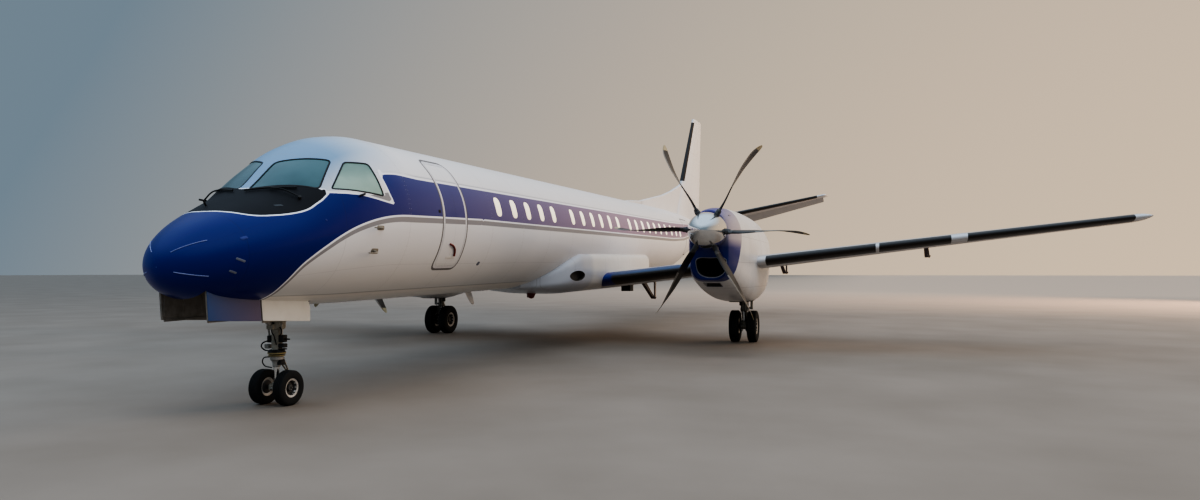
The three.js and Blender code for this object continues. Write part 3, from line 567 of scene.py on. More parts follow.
def ride_pair(port: Piece, body: str, slot: str, node: str = "") -> None:
    """Tie a port piece and its mirror image to their bodies.

    Args:
        port: The port piece, with "left" in its name.
        body: Its body. The other one's has "right" for "left".
        slot: The record's material slot.
        node: The CAD node that it stands for, if it stands for one.
    """
    other = mirrored(port, port.name.replace("left", "right"))
    for piece, word in ((port, "left"), (other, "right")):
        nodes = [node.replace("left", word)] if node else []
        ride_on(piece, body.replace("left", word), slot, *nodes)


# Finishes.


class Graph:
    """A material's node tree, written as sums over sockets."""

    def __init__(self, name: str) -> None:
        """Start a material with one shader."""
        self.material = bpy.data.materials.new(name)
        self.material.use_nodes = True
        self.tree = self.material.node_tree
        self.shader = self.tree.nodes["Principled BSDF"]
        self.place = self.node("ShaderNodeTexCoord").outputs["Object"]

    def node(self, kind: str, **settings: str) -> bpy.types.Node:
        """Add a node and set its options."""
        made = self.tree.nodes.new(kind)
        for key, value in settings.items():
            setattr(made, key, value)
        return made

    def feed(self, socket: Socket, value: Value) -> None:
        """Link a socket to another, or set its value."""
        if isinstance(value, Socket):
            self.tree.links.new(value, socket)
        else:
            socket.default_value = value

    def sum(self, how: str, *values: Value) -> Socket:
        """Work out one number from others with a Math node."""
        made = self.node("ShaderNodeMath", operation=how)
        for socket, value in zip(made.inputs, values):
            self.feed(socket, value)
        return made.outputs[0]

    def times(self, a: Value, b: Value) -> Socket:
        """One number times another."""
        return self.sum("MULTIPLY", a, b)

    def plus(self, a: Value, b: Value) -> Socket:
        """One number and another."""
        return self.sum("ADD", a, b)

    def minus(self, a: Value, b: Value) -> Socket:
        """One number less another."""
        return self.sum("SUBTRACT", a, b)

    def axis(self, letter: str) -> Socket:
        """One coordinate of the place on the piece."""
        made = self.node("ShaderNodeSeparateXYZ")
        self.feed(made.inputs[0], self.place)
        return made.outputs[letter]

    def value_of(self, name: str) -> Socket:
        """A number stored on the mesh."""
        return self.node("ShaderNodeAttribute", attribute_name=name).outputs["Fac"]

    def ramp(self, value: Value, low: float, high: float, a: float = 0.0, b: float = 1.0) -> Socket:
        """Rise from one number to another between two values."""
        made = self.node("ShaderNodeMapRange")
        for socket, item in zip(made.inputs, (value, low, high, a, b)):
            self.feed(socket, item)
        return made.outputs[0]

    def band(self, value: Value, low: Value, high: Value, soft: float = 0.002) -> Socket:
        """Be one between two values, and nothing outside."""
        rise = self.times(self.minus(value, low), 1 / soft)
        fall = self.times(self.minus(high, value), 1 / soft)
        least = self.sum("MINIMUM", rise, fall)
        made = self.node("ShaderNodeClamp")
        self.feed(made.inputs[0], self.plus(least, 0.5))
        return made.outputs[0]

    def mix(self, share: Value, a: Value, b: Value) -> Socket:
        """Blend two colours."""
        made = self.node("ShaderNodeMix", data_type="RGBA")
        self.feed(made.inputs[0], share)
        self.feed(made.inputs[6], colour(a))
        self.feed(made.inputs[7], colour(b))
        return made.outputs[2]

    def noise(self, scale: float, detail: float = 3.0, stretch: tuple = (1, 1, 1)) -> Socket:
        """Cloudy noise from nothing to one, stretched along the axes."""
        spread = self.node("ShaderNodeMapping")
        self.feed(spread.inputs["Vector"], self.place)
        self.feed(spread.inputs["Scale"], stretch)
        made = self.node("ShaderNodeTexNoise")
        self.feed(made.inputs["Vector"], spread.outputs[0])
        self.feed(made.inputs["Scale"], scale)
        self.feed(made.inputs["Detail"], detail)
        return made.outputs["Fac"]

    def joints(self, value: Value, pitch: float, width: float) -> Socket:
        """Be one on thin lines that repeat at a pitch."""
        wave = self.sum("PINGPONG", value, pitch / 2)
        return self.band(wave, -1.0, width / 2, width / 3)

    def bump(self, height: Value, distance: float, strength: float = 0.5) -> None:
        """Raise the surface by a height."""
        made = self.node("ShaderNodeBump")
        for key, value in (("Height", height), ("Distance", distance), ("Strength", strength)):
            self.feed(made.inputs[key], value)
        self.feed(self.shader.inputs["Normal"], made.outputs[0])

    def set(self, **values: Value) -> None:
        """Set the shader's sockets, written with _ for spaces."""
        for key, value in values.items():
            name = key.replace("_", " ")
            if name == "Base Color":
                value = colour(value)
            self.feed(self.shader.inputs[name], value)


def colour(value: Value) -> Value:
    """Give a plain colour its fourth number."""
    if isinstance(value, (tuple, list)) and len(value) == 3:
        return (*value, 1.0)
    return value


@dataclass(frozen=True)
class Finish:
    """A paint, metal or rubber with its own wear."""

    name: str
    base: tuple
    shade: tuple
    roughness: float = 0.4
    metal: float = 0.0
    grain: float = 40.0
    relief: float = 0.0004
    coat: float = 0.0

    def make(self) -> Paint:
        """Build the material once, and give the same one afterwards."""
        held = bpy.data.materials.get(self.name)
        if held is not None:
            return held
        g = Graph(self.name)
        cloud = g.noise(self.grain / 12, 4.0)
        fine = g.noise(self.grain, 3.0)
        spots = g.ramp(g.times(cloud, fine), 0.15, 0.4)
        rough = g.ramp(fine, 0.3, 0.7, self.roughness * 0.85, min(self.roughness * 1.2, 1.0))
        g.set(
            Base_Color=g.mix(spots, self.base, self.shade),
            Metallic=self.metal,
            Roughness=rough,
            Coat_Weight=self.coat,
            Coat_Roughness=0.06,
        )
        g.bump(fine, self.relief)
        return g.material


WHITE = (0.80, 0.79, 0.80)
BELLY = (0.66, 0.65, 0.62)
NOSE_BLUE = (0.001, 0.010, 0.170)
# The nose and stripe are one blue paint: the stripe's lighter blue and the violet-pink aft are painted
# reflection.
STRIPE_BLUE = (0.062, 0.064, 0.225)
STRIPE_REFLECTION_PINK = (0.33, 0.235, 0.33)
BAND_GREY = (0.30, 0.29, 0.30)
LINE_WHITE = (0.88, 0.89, 0.93)
GLARE_BLACK = (0.018, 0.018, 0.021)

TYRE = Finish("tyre_rubber", (0.018, 0.018, 0.019), (0.04, 0.038, 0.036), 0.85, 0.0, 90.0, 0.0008)
RIM = Finish("rim_grey", (0.62, 0.60, 0.57), (0.42, 0.40, 0.37), 0.42, 0.2, 60.0)
HUB_DARK = Finish("hub_dark", (0.07, 0.068, 0.065), (0.12, 0.11, 0.10), 0.5, 0.4, 60.0)
LEG = Finish("leg_bronze", (0.42, 0.39, 0.33), (0.22, 0.20, 0.165), 0.48, 0.2, 50.0)
LEG_PALE = Finish("leg_pale", (0.45, 0.43, 0.40), (0.27, 0.26, 0.24), 0.45, 0.3, 50.0)
CHROME = Finish("slider_chrome", (0.80, 0.79, 0.77), (0.62, 0.61, 0.60), 0.14, 1.0, 120.0, 0.0001)
BRASS = Finish("ring_brass", (0.42, 0.34, 0.17), (0.26, 0.205, 0.10), 0.4, 0.5, 90.0)
DARK_PART = Finish("dark_fitting", (0.018, 0.018, 0.02), (0.045, 0.043, 0.04), 0.55, 0.1, 60.0)
HOSE = Finish("hose_rubber", (0.012, 0.012, 0.013), (0.03, 0.03, 0.03), 0.6, 0.0, 140.0)
STEEL = Finish("engine_steel", (0.34, 0.33, 0.32), (0.2, 0.17, 0.14), 0.38, 0.85, 30.0)
SEAL = Finish("seal_rubber", (0.012, 0.012, 0.014), (0.03, 0.03, 0.03), 0.6, 0.0, 150.0)
# Near-black for faces deep in bays, ducts and rooms: painted shade.
ROOM_SHADE = Finish("bay_dark", (0.05, 0.045, 0.04), (0.10, 0.09, 0.075), 0.65, 0.0, 20.0)
PROBE_TIN = Finish("probe_tin", (0.36, 0.32, 0.26), (0.20, 0.175, 0.14), 0.45, 0.3, 90.0)
DOOR_LINING = Finish("door_lining", (0.30, 0.27, 0.24), (0.17, 0.155, 0.135), 0.6, 0.0, 12.0)
PLATE_GREY = Finish("plate_grey", (0.17, 0.185, 0.24), (0.12, 0.13, 0.18), 0.45, 0.0, 70.0)
PLATE_BLUE = Finish("plate_blue", (0.045, 0.06, 0.26), (0.03, 0.04, 0.20), 0.42, 0.0, 70.0)
PLATE_DARK = Finish("plate_dark", (0.055, 0.062, 0.070), (0.04, 0.045, 0.05), 0.45, 0.0, 70.0)
STRIP_PALE = Finish("strip_pale", (0.20, 0.24, 0.48), (0.28, 0.31, 0.52), 0.4, 0.0, 90.0)
PALE_PLATE = Finish("pale_plate", (0.74, 0.71, 0.68), (0.62, 0.59, 0.57), 0.4, 0.0, 60.0)
HANDLE_RED = Finish("handle_red", (0.26, 0.045, 0.035), (0.15, 0.04, 0.03), 0.45, 0.0, 60.0)
BEACON_RED = Finish("beacon_red", (0.20, 0.035, 0.022), (0.12, 0.022, 0.016), 0.3, 0.0, 60.0)
LIP_METAL = Finish("lip_metal", (0.36, 0.35, 0.38), (0.26, 0.25, 0.27), 0.38, 0.45, 60.0)
GASKET = Finish("bay_gasket", (0.030, 0.027, 0.026), (0.055, 0.05, 0.046), 0.6, 0.0, 90.0)
RIVET = Finish("rivet_paint", (0.62, 0.61, 0.61), (0.50, 0.49, 0.48), 0.42, 0.1, 60.0)
WHITE_PART = Finish("white_part", (0.74, 0.73, 0.73), (0.62, 0.60, 0.59), 0.36, 0.0, 60.0)


def livery_paint(name: str) -> Paint:
    """The fuselage's paint: blue nose and stripe, dark panel, grey band and panel joints, with painted
    reflections on the blue and on the cockpit's roof.
    """
    g = Graph(name)
    station = g.plus(g.axis("Y"), ORIGIN_STATION)
    blue = g.value_of("blue_edge")
    glare = g.value_of("glare_edge")
    turn = g.value_of("turn")
    dirt = g.noise(1.3, 5.0, (1, 0.5, 1.6))
    fine = g.noise(34.0, 3.0)
    low = g.ramp(turn, -20.0, -75.0)
    white = g.mix(g.times(low, 0.75), WHITE, BELLY)
    white = g.mix(g.ramp(dirt, 0.35, 0.85, 0.0, 0.10), white, (0.52, 0.48, 0.44))
    keel = g.times(g.ramp(turn, -60.0, -61.0), g.ramp(station, 7.0, 6.0))
    white = g.mix(keel, white, (0.84, 0.79, 0.73))
    keel_line = g.times(g.band(turn, -60.6, -59.2, 0.3), g.ramp(station, 7.0, 6.0))
    white = g.mix(g.times(keel_line, 0.5), white, (0.26, 0.23, 0.21))
    # Painted sky reflection: the white turns blue on the roof near the cockpit.
    roof = g.times(g.ramp(station, 1.5, 0.3), g.ramp(turn, 24.0, 54.0))
    white = g.mix(g.times(roof, 0.95), white, (0.19, 0.33, 0.50))
    seams = g.sum("MAXIMUM", g.joints(station, 1.22, 0.006), g.joints(turn, 33.0, 0.28))
    white = g.mix(g.times(seams, 0.34), white, (0.36, 0.35, 0.35))
    reach = g.ramp(station, -0.7, 1.25, 0.060, 0.100)
    outside = g.times(blue, -1.0)
    upper = g.sum("LESS_THAN", turn, 18.0)
    band = g.times(g.band(outside, 0.022, reach, 0.003), upper)
    paint = g.mix(band, white, BAND_GREY)
    edge = g.band(outside, -0.002, 0.026, 0.003)
    paint = g.mix(edge, paint, LINE_WHITE)
    # The blue lightens from the nose to the stripe and turns violet-pink aft: painted reflection on one
    # blue paint.
    shade = g.mix(g.ramp(station, 0.2, 2.2), NOSE_BLUE, STRIPE_BLUE)
    shade = g.mix(g.ramp(station, 2.4, 10.5), shade, STRIPE_REFLECTION_PINK)
    shade = g.mix(g.times(seams, 0.35), shade, (0.01, 0.012, 0.06))
    above = g.times(g.sum("GREATER_THAN", turn, 18.0), g.ramp(station, 1.3, 1.6))
    thin = g.times(g.band(outside, 0.045, 0.062, 0.004), above)
    paint = g.mix(g.times(thin, 0.7), paint, (0.34, 0.35, 0.40))
    paint = g.mix(g.band(blue, 0.0, 50.0), paint, shade)
    paint = g.mix(g.band(glare, -0.022, 50.0, 0.003), paint, LINE_WHITE)
    dark = g.band(glare, 0.0, 50.0, 0.003)
    paint = g.mix(dark, paint, GLARE_BLACK)
    rough = g.ramp(dirt, 0.3, 0.8, 0.30, 0.38)
    rough = g.plus(rough, g.times(dark, 0.34))
    coat = g.minus(0.12, g.times(dark, 0.1))
    g.set(Base_Color=paint, Roughness=rough, Coat_Weight=coat, Coat_Roughness=0.08,
          Specular_IOR_Level=0.32)
    waves = g.noise(2.2, 1.0)
    height = g.minus(g.times(waves, 2.0), seams)
    g.bump(g.plus(height, g.times(fine, 0.06)), 0.0014, 0.25)
    return g.material


def cockpit_glass(
    name: str, dark: tuple, pale: tuple, low: float, high: float, lean: float
) -> Paint:
    """Tinted glass whose reflection brightens across the pane.

    Args:
        name: The material's name.
        dark: The colour at one edge.
        pale: The colour at the other.
        low: The height at which it is dark.
        high: The height at which it is pale.
        lean: How much x adds to the height.

    Returns:
        The material.
    """
    g = Graph(name)
    across = g.plus(g.axis("Z"), g.times(g.axis("X"), lean))
    cloud = g.noise(2.6, 2.0)
    share = g.plus(g.ramp(across, low, high), g.ramp(cloud, 0.3, 0.7, -0.18, 0.18))
    g.set(
        Base_Color=g.mix(share, dark, pale),
        Roughness=0.07,
        Coat_Weight=0.25,
        Coat_Roughness=0.03,
    )
    g.bump(g.noise(3.0, 1.0), 0.002, 0.15)
    return g.material


def cabin_glow(name: str) -> Paint:
    """A cabin pane with the warm light of the lamps behind it."""
    g = Graph(name)
    high = g.ramp(g.axis("Z"), 2.45, 2.95)
    soft = g.noise(9.0, 2.0)
    tint = g.mix(g.plus(g.times(high, 0.6), g.times(soft, 0.3)),
                 (0.95, 0.80, 0.50), (0.98, 0.95, 0.86))
    g.set(Base_Color=tint, Roughness=0.12, Emission_Color=tint, Emission_Strength=0.55)
    return g.material


# Fuselage.


@dataclass(frozen=True)
class Outline:
    """A panel in the skin, by its corners and the way it faces."""

    corners: tuple
    way: tuple
    radius: float

    def flat(self) -> tuple[Points, Points, Points, Points]:
        """Lay the corners in their own plane.

        Returns:
            The rounded flat outline, the plane's centre and its two directions.
        """
        corners = np.array(self.corners, float)
        way = np.array(self.way, float) / np.linalg.norm(self.way)
        centre = corners.mean(0)
        u = np.cross([0.0, 0.0, 1.0], way)
        u /= np.linalg.norm(u)
        v = np.cross(way, u)
        local = np.stack([(corners - centre) @ u, (corners - centre) @ v], 1)
        return rounded(local, self.radius), centre, u, v

    def tool(self, name: str, grow: float, reach: float = 0.3) -> Piece:
        """A prism over the outline.

        Args:
            name: The object's name.
            grow: How far the outline is moved outwards.
            reach: How far the prism goes each way.

        Returns:
            The prism.
        """
        local, centre, u, v = self.flat()
        local = offset_outline(local, grow)
        ring = centre + np.outer(local[:, 0], u) + np.outer(local[:, 1], v)
        return prism(name, ring, self.way, reach)


def side_panel(
    x: float, front: float, rear: float, low: float, high: float, radius: float
) -> Outline:
    """A rounded panel on the cabin's side, by its stations and heights."""
    corners = ((x, front, low), (x, rear, low), (x, rear, high), (x, front, high))
    return Outline(corners, (math.copysign(1.0, x), 0.0, 0.0), radius)


@dataclass
class Skin:
    """The fuselage's outer surface, read from a table of sections."""

    # station, half width, top, bottom, widest
    table: tuple = (
        (-1.800, 0.000, -0.635, -0.635, -0.635),
        (-1.770, 0.150, -0.500, -0.770, -0.635),
        (-1.680, 0.325, -0.365, -0.885, -0.620),
        (-1.500, 0.510, -0.195, -0.980, -0.580),
        (-1.200, 0.705, -0.015, -1.038, -0.500),
        (-0.900, 0.830, 0.128, -1.065, -0.430),
        (-0.580, 0.920, 0.295, -1.088, -0.345),
        (-0.150, 1.010, 0.660, -1.115, -0.230),
        (0.300, 1.080, 0.950, -1.140, -0.120),
        (0.700, 1.125, 1.090, -1.150, -0.050),
        (1.200, 1.155, 1.155, -1.155, 0.000),
        (15.500, 1.155, 1.155, -1.155, 0.000),
        (17.500, 1.105, 1.150, -1.000, 0.060),
        (19.500, 0.950, 1.120, -0.640, 0.200),
        (21.500, 0.690, 1.050, -0.170, 0.420),
        (23.500, 0.400, 0.950, 0.270, 0.610),
        (25.000, 0.190, 0.860, 0.500, 0.680),
        (25.400, 0.120, 0.815, 0.570, 0.695),
        (25.480, 0.055, 0.760, 0.650, 0.700),
    )
    sides: int = 120

    def section(self, station: Points | float) -> list[Points]:
        """Half width, top, bottom and widest height at some stations."""
        rows = np.array(self.table).T
        place = np.sqrt(np.maximum(np.asarray(station, float) - rows[0][0], 0.0))
        return [monotone(np.sqrt(rows[0] - rows[0][0]), column, place) for column in rows[1:]]

    def at(self, station: Points | float, turn: Points | float, lift: float = 0.0) -> Points:
        """Points of the skin.

        Args:
            station: Stations aft.
            turn: Degrees round from the widest line, up being positive.
            lift: How far outside the skin.

        Returns:
            Rows of x, station and height.
        """
        station, turn = np.broadcast_arrays(np.asarray(station, float), np.radians(turn))
        width, top, bottom, widest = self.section(station)
        reach = np.where(np.sin(turn) > 0, top - widest, widest - bottom)
        x = np.maximum(width + lift, 0.0) * np.cos(turn)
        return np.stack([x, station, widest + np.maximum(reach + lift, 0) * np.sin(turn)], -1)

    def shares(self, body: Points) -> tuple[Points, Points]:
        """How far out and up points lie, as shares of the skin's reach there."""
        width, top, bottom, widest = self.section(body[:, 1])
        up = body[:, 2] - widest
        reach = np.where(up > 0, top - widest, widest - bottom)
        return np.abs(body[:, 0]) / np.maximum(width, 1e-3), up / np.maximum(reach, 1e-3)

    def turn_of(self, body: Points) -> Points:
        """Degrees round the section at which points near the skin lie."""
        out, up = self.shares(body)
        return np.degrees(np.arctan2(up, out))

    def stations(self, front: float, rear: float) -> Points:
        """Stations for rings, close together towards the nose."""
        found = [front]
        while found[-1] < rear:
            here = found[-1] - self.table[0][0]
            step = 0.006 + 0.028 * min(here / 0.5, 1.0) + 0.10 * min(max(here - 5.5, 0) / 2, 1)
            found.append(found[-1] + step)
        found = [s for s in found if s < rear - 0.004] + [rear]
        return np.array(found)

    def body(self, name: str, front: float, rear: float, lift: float = 0.0) -> Piece:
        """A closed length of the skin."""
        turn = 360.0 * (np.arange(self.sides) + 0.5) / self.sides
        rings = [self.at(s, turn, lift) for s in self.stations(front, rear)]
        return loft(name, rings)


SKIN = Skin()


@dataclass
class Livery:
    """Where the paint's colours meet, as places on the port side of the skin."""

    # Stations and heights along the lower edge of the blue, from the belly up to the stripe.
    lower: tuple = (
        (-0.700, -1.300), (-0.700, -0.960), (-0.686, -0.812), (-0.603, -0.634),
        (-0.443, -0.490), (-0.237, -0.352), (-0.075, -0.258), (0.102, -0.173),
        (0.285, -0.105), (0.493, -0.045), (0.710, -0.001), (0.940, 0.028),
        (1.180, 0.040), (1.453, 0.046), (2.2, 0.062), (3.3, 0.0826),
    )
    # Round the side window, from the stripe's top down to the window's foot.
    window: tuple = (
        (0.806, 0.621), (0.787, 0.551), (0.805, 0.432), (0.834, 0.300), (0.897, 0.156),
        (0.650, 0.195), (0.479, 0.223), (0.294, 0.249), (0.084, 0.251), (-0.128, 0.246),
    )
    # Stations and x of the dark panel's edge, from the window to the middle of the nose.
    panel: tuple = (
        (-0.128, 0.859), (-0.240, 0.859), (-0.319, 0.848), (-0.488, 0.814), (-0.773, 0.691),
        (-0.998, 0.530), (-1.120, 0.307), (-1.188, 0.072), (-1.190, 0.0),
    )
    stripe_low: float = 4.1
    stripe_high: float = 29.2
    stripe_end: float = 21.0
    # Metres for each degree round the cabin.
    degree: float = 0.02016

    def spread(self, rows: Rows, steps: int = 16) -> Points:
        """Put more points between an outline's corners."""
        p = np.array(rows, float)
        parts = [np.linspace(a, b, steps, endpoint=False) for a, b in zip(p, p[1:])]
        return np.concatenate([*parts, p[-1:]])

    def by_height(self, p: Points) -> Points:
        """Stations and degrees for stations and heights."""
        up = SKIN.shares(np.column_stack([p[:, 0] * 0, p]))[1]
        return np.stack([p[:, 0], np.degrees(np.arcsin(np.clip(up, -1, 1)))], 1)

    def by_width(self, rows: Rows) -> Points:
        """Stations and degrees on the upper side for stations and x."""
        p = curve(rows, 16)
        width = SKIN.section(p[:, 0])[0]
        return np.stack([p[:, 0], np.degrees(np.arccos(np.clip(p[:, 1] / width, 0, 1)))], 1)

    def blue(self) -> Points:
        """The blue's outline in stations and degrees."""
        tail = self.spread([
            (3.3, self.stripe_low), (17.5, self.stripe_low), (19.6, 9.0),
            (self.stripe_end, self.stripe_high - 4), (19.6, self.stripe_high),
            (1.6, self.stripe_high), (0.806, 31.2),
        ], 150)
        nose = self.spread([(-1.190, 90.0), (-1.802, 90.0), (-1.802, -90.0), (-0.700, -90.0)])
        return np.concatenate([
            self.by_height(curve(self.lower, 16)), tail, self.by_height(self.spread(self.window)),
            self.by_width(self.panel), nose,
        ])

    def glare(self) -> Points:
        """The dark panel's outline in stations and degrees."""
        top = self.spread([(-1.190, 90.0), (-0.60, 90.0)])
        foot = np.array([[-0.585, 0.080, 0.330], [-0.194, 0.795, 0.287]])
        degrees = SKIN.turn_of(np.stack([foot[:, 1], foot[:, 0], foot[:, 2]], 1))
        foot_line = self.spread(list(zip(foot[:, 0], degrees)))
        return np.concatenate([self.by_width(self.panel), top, foot_line])

    def edge(self, outline: Points, body: Points) -> Points:
        """Metres from an outline on the skin, positive inside.

        Args:
            outline: Rows of station and degrees.
            body: Rows of x, station and height near the skin.

        Returns:
            One signed distance for each row.
        """
        on_skin = SKIN.at(outline[:, 0], outline[:, 1])
        tree = kdtree.KDTree(len(on_skin))
        for i, p in enumerate(on_skin):
            tree.insert(p, i)
        tree.balance()
        ahead, behind = np.roll(on_skin, -1, 0), np.roll(on_skin, 1, 0)
        found = np.empty(len(body))
        port = body.copy()
        port[:, 0] = np.abs(port[:, 0])
        for i, p in enumerate(port):
            _, k, _ = tree.find(p)
            nearest = 9.0
            for a, b in ((behind[k], on_skin[k]), (on_skin[k], ahead[k])):
                run = b - a
                share = np.clip(np.dot(p - a, run) / max(np.dot(run, run), 1e-12), 0, 1)
                nearest = min(nearest, float(np.linalg.norm(p - a - share * run)))
            found[i] = nearest
        inside = inside_polygon(np.stack([body[:, 1], SKIN.turn_of(body)], 1), outline)
        return np.where(inside, found, -found)

    def dress(self, piece: Piece, paint: Paint) -> None:
        """Store the colours' edges on a mesh and give it the paint."""
        body = to_body(corners_of(piece))
        turn = SKIN.turn_of(body)
        straight = (body[:, 1] > 3.4) & (body[:, 1] < 17.4)
        stripe = np.minimum(turn - self.stripe_low, self.stripe_high - turn) * self.degree
        blue = np.where(straight, stripe, self.edge(self.blue(), body))
        mark(piece, "blue_edge", blue)
        mark(piece, "glare_edge", self.edge(self.glare(), body))
        mark(piece, "turn", turn)
        smooth(coat(piece, paint), 24.0)


@dataclass
class Fuselage:
    """The body of the aircraft with its doors, panes and windows."""

    nose: float = -1.8
    radome_joint: float = -1.15
    cabin_front: float = 3.3
    cabin_rear: float = 15.5
    tail: float = 25.48
    bay_half_width: float = 0.338
    bay_front: float = -1.48
    bay_rear: float = 0.195
    bay_roof: float = -0.56
    pane_recess: float = 0.006
    # How deep the panes' rooms go, and how deep the panes in them.
    pane_room: float = 0.016
    pane_depth: float = 0.0155
    seal_width: float = 0.020
    # The stations between which the panes and the doors lie.
    eye_span: tuple = (-1.0, 1.2)
    entry_span: tuple = (1.9, 3.1)
    hold_span: tuple = (17.7, 19.7)
    windshield: Outline = Outline(
        ((0.080, -0.625, 0.300), (0.082, -0.152, 0.664), (0.643, 0.221, 0.687),
         (0.798, -0.202, 0.279)), (0.35, -0.62, 0.7), 0.075)
    side_window: Outline = Outline(
        ((0.849, -0.083, 0.290), (0.722, 0.330, 0.684), (0.842, 0.690, 0.696),
         (1.085, 0.715, 0.250)), (0.82, -0.3, 0.48), 0.06)
    doors: dict = field(default_factory=lambda: {
        "passenger_door": side_panel(0.9, 2.060, 2.810, -0.725, 0.935, 0.16),
        "service_door": side_panel(-0.9, 2.180, 2.790, -0.520, 0.760, 0.16),
        "cargo_door": side_panel(0.8, 18.050, 19.350, -0.430, 0.800, 0.16),
    })
    # How deep the doors' rooms, the doors and their frames go, and how proud a door stands.
    door_room: float = 0.035
    door_depth: float = 0.0345
    frame_depth: float = 0.034
    door_lift: float = 0.0015
    door_gap: float = 0.076
    # The width of the dark ring of painted shadow at a door's edge.
    gasket_width: float = 0.030
    # Stations of the cabin windows' middles.
    windows: tuple = (
        3.953, 4.569, 5.160, 5.773, 6.374, 7.409, 8.031, 8.652, 9.256, 9.879, 10.510,
        11.496, 12.106, 12.716, 13.326, 13.936, 14.546, 15.170, 15.850, 16.460, 17.070,
    )
    window_size: tuple = (0.235, 0.335)
    window_height: float = 0.318
    window_x: float = 1.1
    # How far the cabin panes lie under the skin, and how much smaller than their rooms they are.
    window_sink: float = -0.009
    window_play: float = 0.014
    # A face nearer the middle than this share of the skin's reach lies in a room, and gets painted
    # shade.
    room_share: float = 0.93
    livery: Livery = field(default_factory=Livery)

    def bay(self) -> Piece:
        """The room of the nose gear bay."""
        w = self.bay_half_width
        return box("bay_room", (-w, self.bay_front, -2.0), (w, self.bay_rear, self.bay_roof))

    def inlay(self, outline: Outline, front: float, rear: float, grow: float,
              lift: float, depth: float, name: str) -> Piece:
        """A shell of the skin inside an outline.

        Args:
            outline: The panel's outline.
            front: Where the skin's length starts.
            rear: Where it ends.
            grow: How far the outline is moved out.
            lift: The shell's outside, over the skin.
            depth: The shell's inside, under the skin.
            name: The object's name.

        Returns:
            The shell.
        """
        shell = carve(SKIN.body(name, front, rear, lift), [outline.tool("tool", grow)],
                      Cut.KEEP_COMMON)
        return carve(shell, [SKIN.body("core", front - 0.2, rear + 0.2, -depth)])

    def pocket(self, outline: Outline, front: float, rear: float, depth: float) -> Piece:
        """The room that a panel takes in the skin."""
        return self.inlay(outline, front, rear, 0.0, 0.03, depth, "pocket")

    def window_tool(self, side: Side, front: float, rear: float) -> Optional[Piece]:
        """The room of the cabin windows on one side between two stations."""
        wide, tall = self.window_size
        chosen = [s for s in self.windows if front < s < rear]
        if not chosen:
            return None
        tools = []
        for s in chosen:
            outline = side_panel(0.98 * side.value, s - wide / 2, s + wide / 2,
                                 self.window_height - tall / 2,
                                 self.window_height + tall / 2, 0.11)
            tools.append(outline.tool("window", 0.0, 0.35))
        tool = joined("windows", tools)
        return carve(tool, [SKIN.body("core", front - 0.1, rear + 0.1, -0.016)])

    def build_shells(self) -> None:
        """The four lengths of the fuselage, with rooms for what is let in."""
        paint, inner = livery_paint("livery"), ROOM_SHADE.make()
        eye = (self.windshield, self.side_window)
        panes = [self.pocket(o, *self.eye_span, self.pane_room) for o in eye]
        panes += [mirrored(p, "pane_right") for p in panes]
        door = self.doors
        fore = [self.pocket(door[word], *self.entry_span, self.door_room)
                for word in ("passenger_door", "service_door")]
        hold = [self.pocket(door["cargo_door"], *self.hold_span, self.door_room)]
        lengths = [
            ("radome", self.nose, self.radome_joint, [self.bay()]),
            ("forward_fuselage", self.radome_joint, self.cabin_front, [self.bay(), *panes, *fore]),
            ("cabin_fuselage", self.cabin_front, self.cabin_rear, []),
            ("aft_fuselage", self.cabin_rear, self.tail, hold),
        ]
        for node, front, rear, tools in lengths:
            shell = SKIN.body(f"{node}_skin", front, rear)
            rooms = [self.window_tool(side, front, rear) for side in Side]
            tools += [room for room in rooms if room is not None]
            if tools:
                carve(shell, tools)
            self.livery.dress(shell, paint)
            self.line_rooms(shell, inner)
            slot = "blue_paint" if node == "radome" else "white_paint"
            ride_on(shell, "airframe", slot, node)

    def line_rooms(self, shell: Piece, inner: Paint) -> None:
        """Give what lies deep inside the skin a near-black painted shade."""
        shell.data.materials.append(inner)
        body = to_body(corners_of(shell))
        middles = np.array([body[list(f.vertices)].mean(0) for f in shell.data.polygons])
        deep = np.hypot(*SKIN.shares(middles)) < self.room_share
        deep &= middles[:, 1] > self.bay_front + 0.001
        deep &= middles[:, 1] < self.bay_rear + 0.3
        for face, inside in zip(shell.data.polygons, deep):
            face.material_index = int(inside)

    def build_doors(self) -> None:
        """The three doors with a pale frame round each, and outside the frame a dark ring of painted
        shadow.
        """
        paint = livery_paint("door_livery")
        seal = Finish("door_frame", (0.72, 0.71, 0.73), (0.62, 0.61, 0.63), 0.40).make()
        gasket = Finish("door_gasket", (0.15, 0.14, 0.14), (0.22, 0.21, 0.21), 0.55).make()
        for node, outline in self.doors.items():
            front, rear = outline.corners[0][1] - 0.2, outline.corners[1][1] + 0.2
            leaf = self.inlay(outline, front, rear, -self.door_gap, self.door_lift,
                              self.door_depth, f"{node}_leaf")
            self.livery.dress(leaf, paint)
            ride_on(leaf, "airframe", "white_paint", node)
            # The dark ring stands for the shadow line in the gap round a door: painted shadow.
            rows = (("gasket", 0.0015, self.gasket_width, 0.0, gasket),
                    ("frame", self.gasket_width, self.door_gap - 0.003, 0.0012, seal))
            for word, outer, inner, lift, finish in rows:
                ring = self.inlay(outline, front, rear, -outer, lift, self.frame_depth,
                                  f"{node}_{word}")
                carve(ring, [outline.tool("hole", -inner)])
                ride_on(smooth(coat(ring, finish)), "airframe", "white_paint")

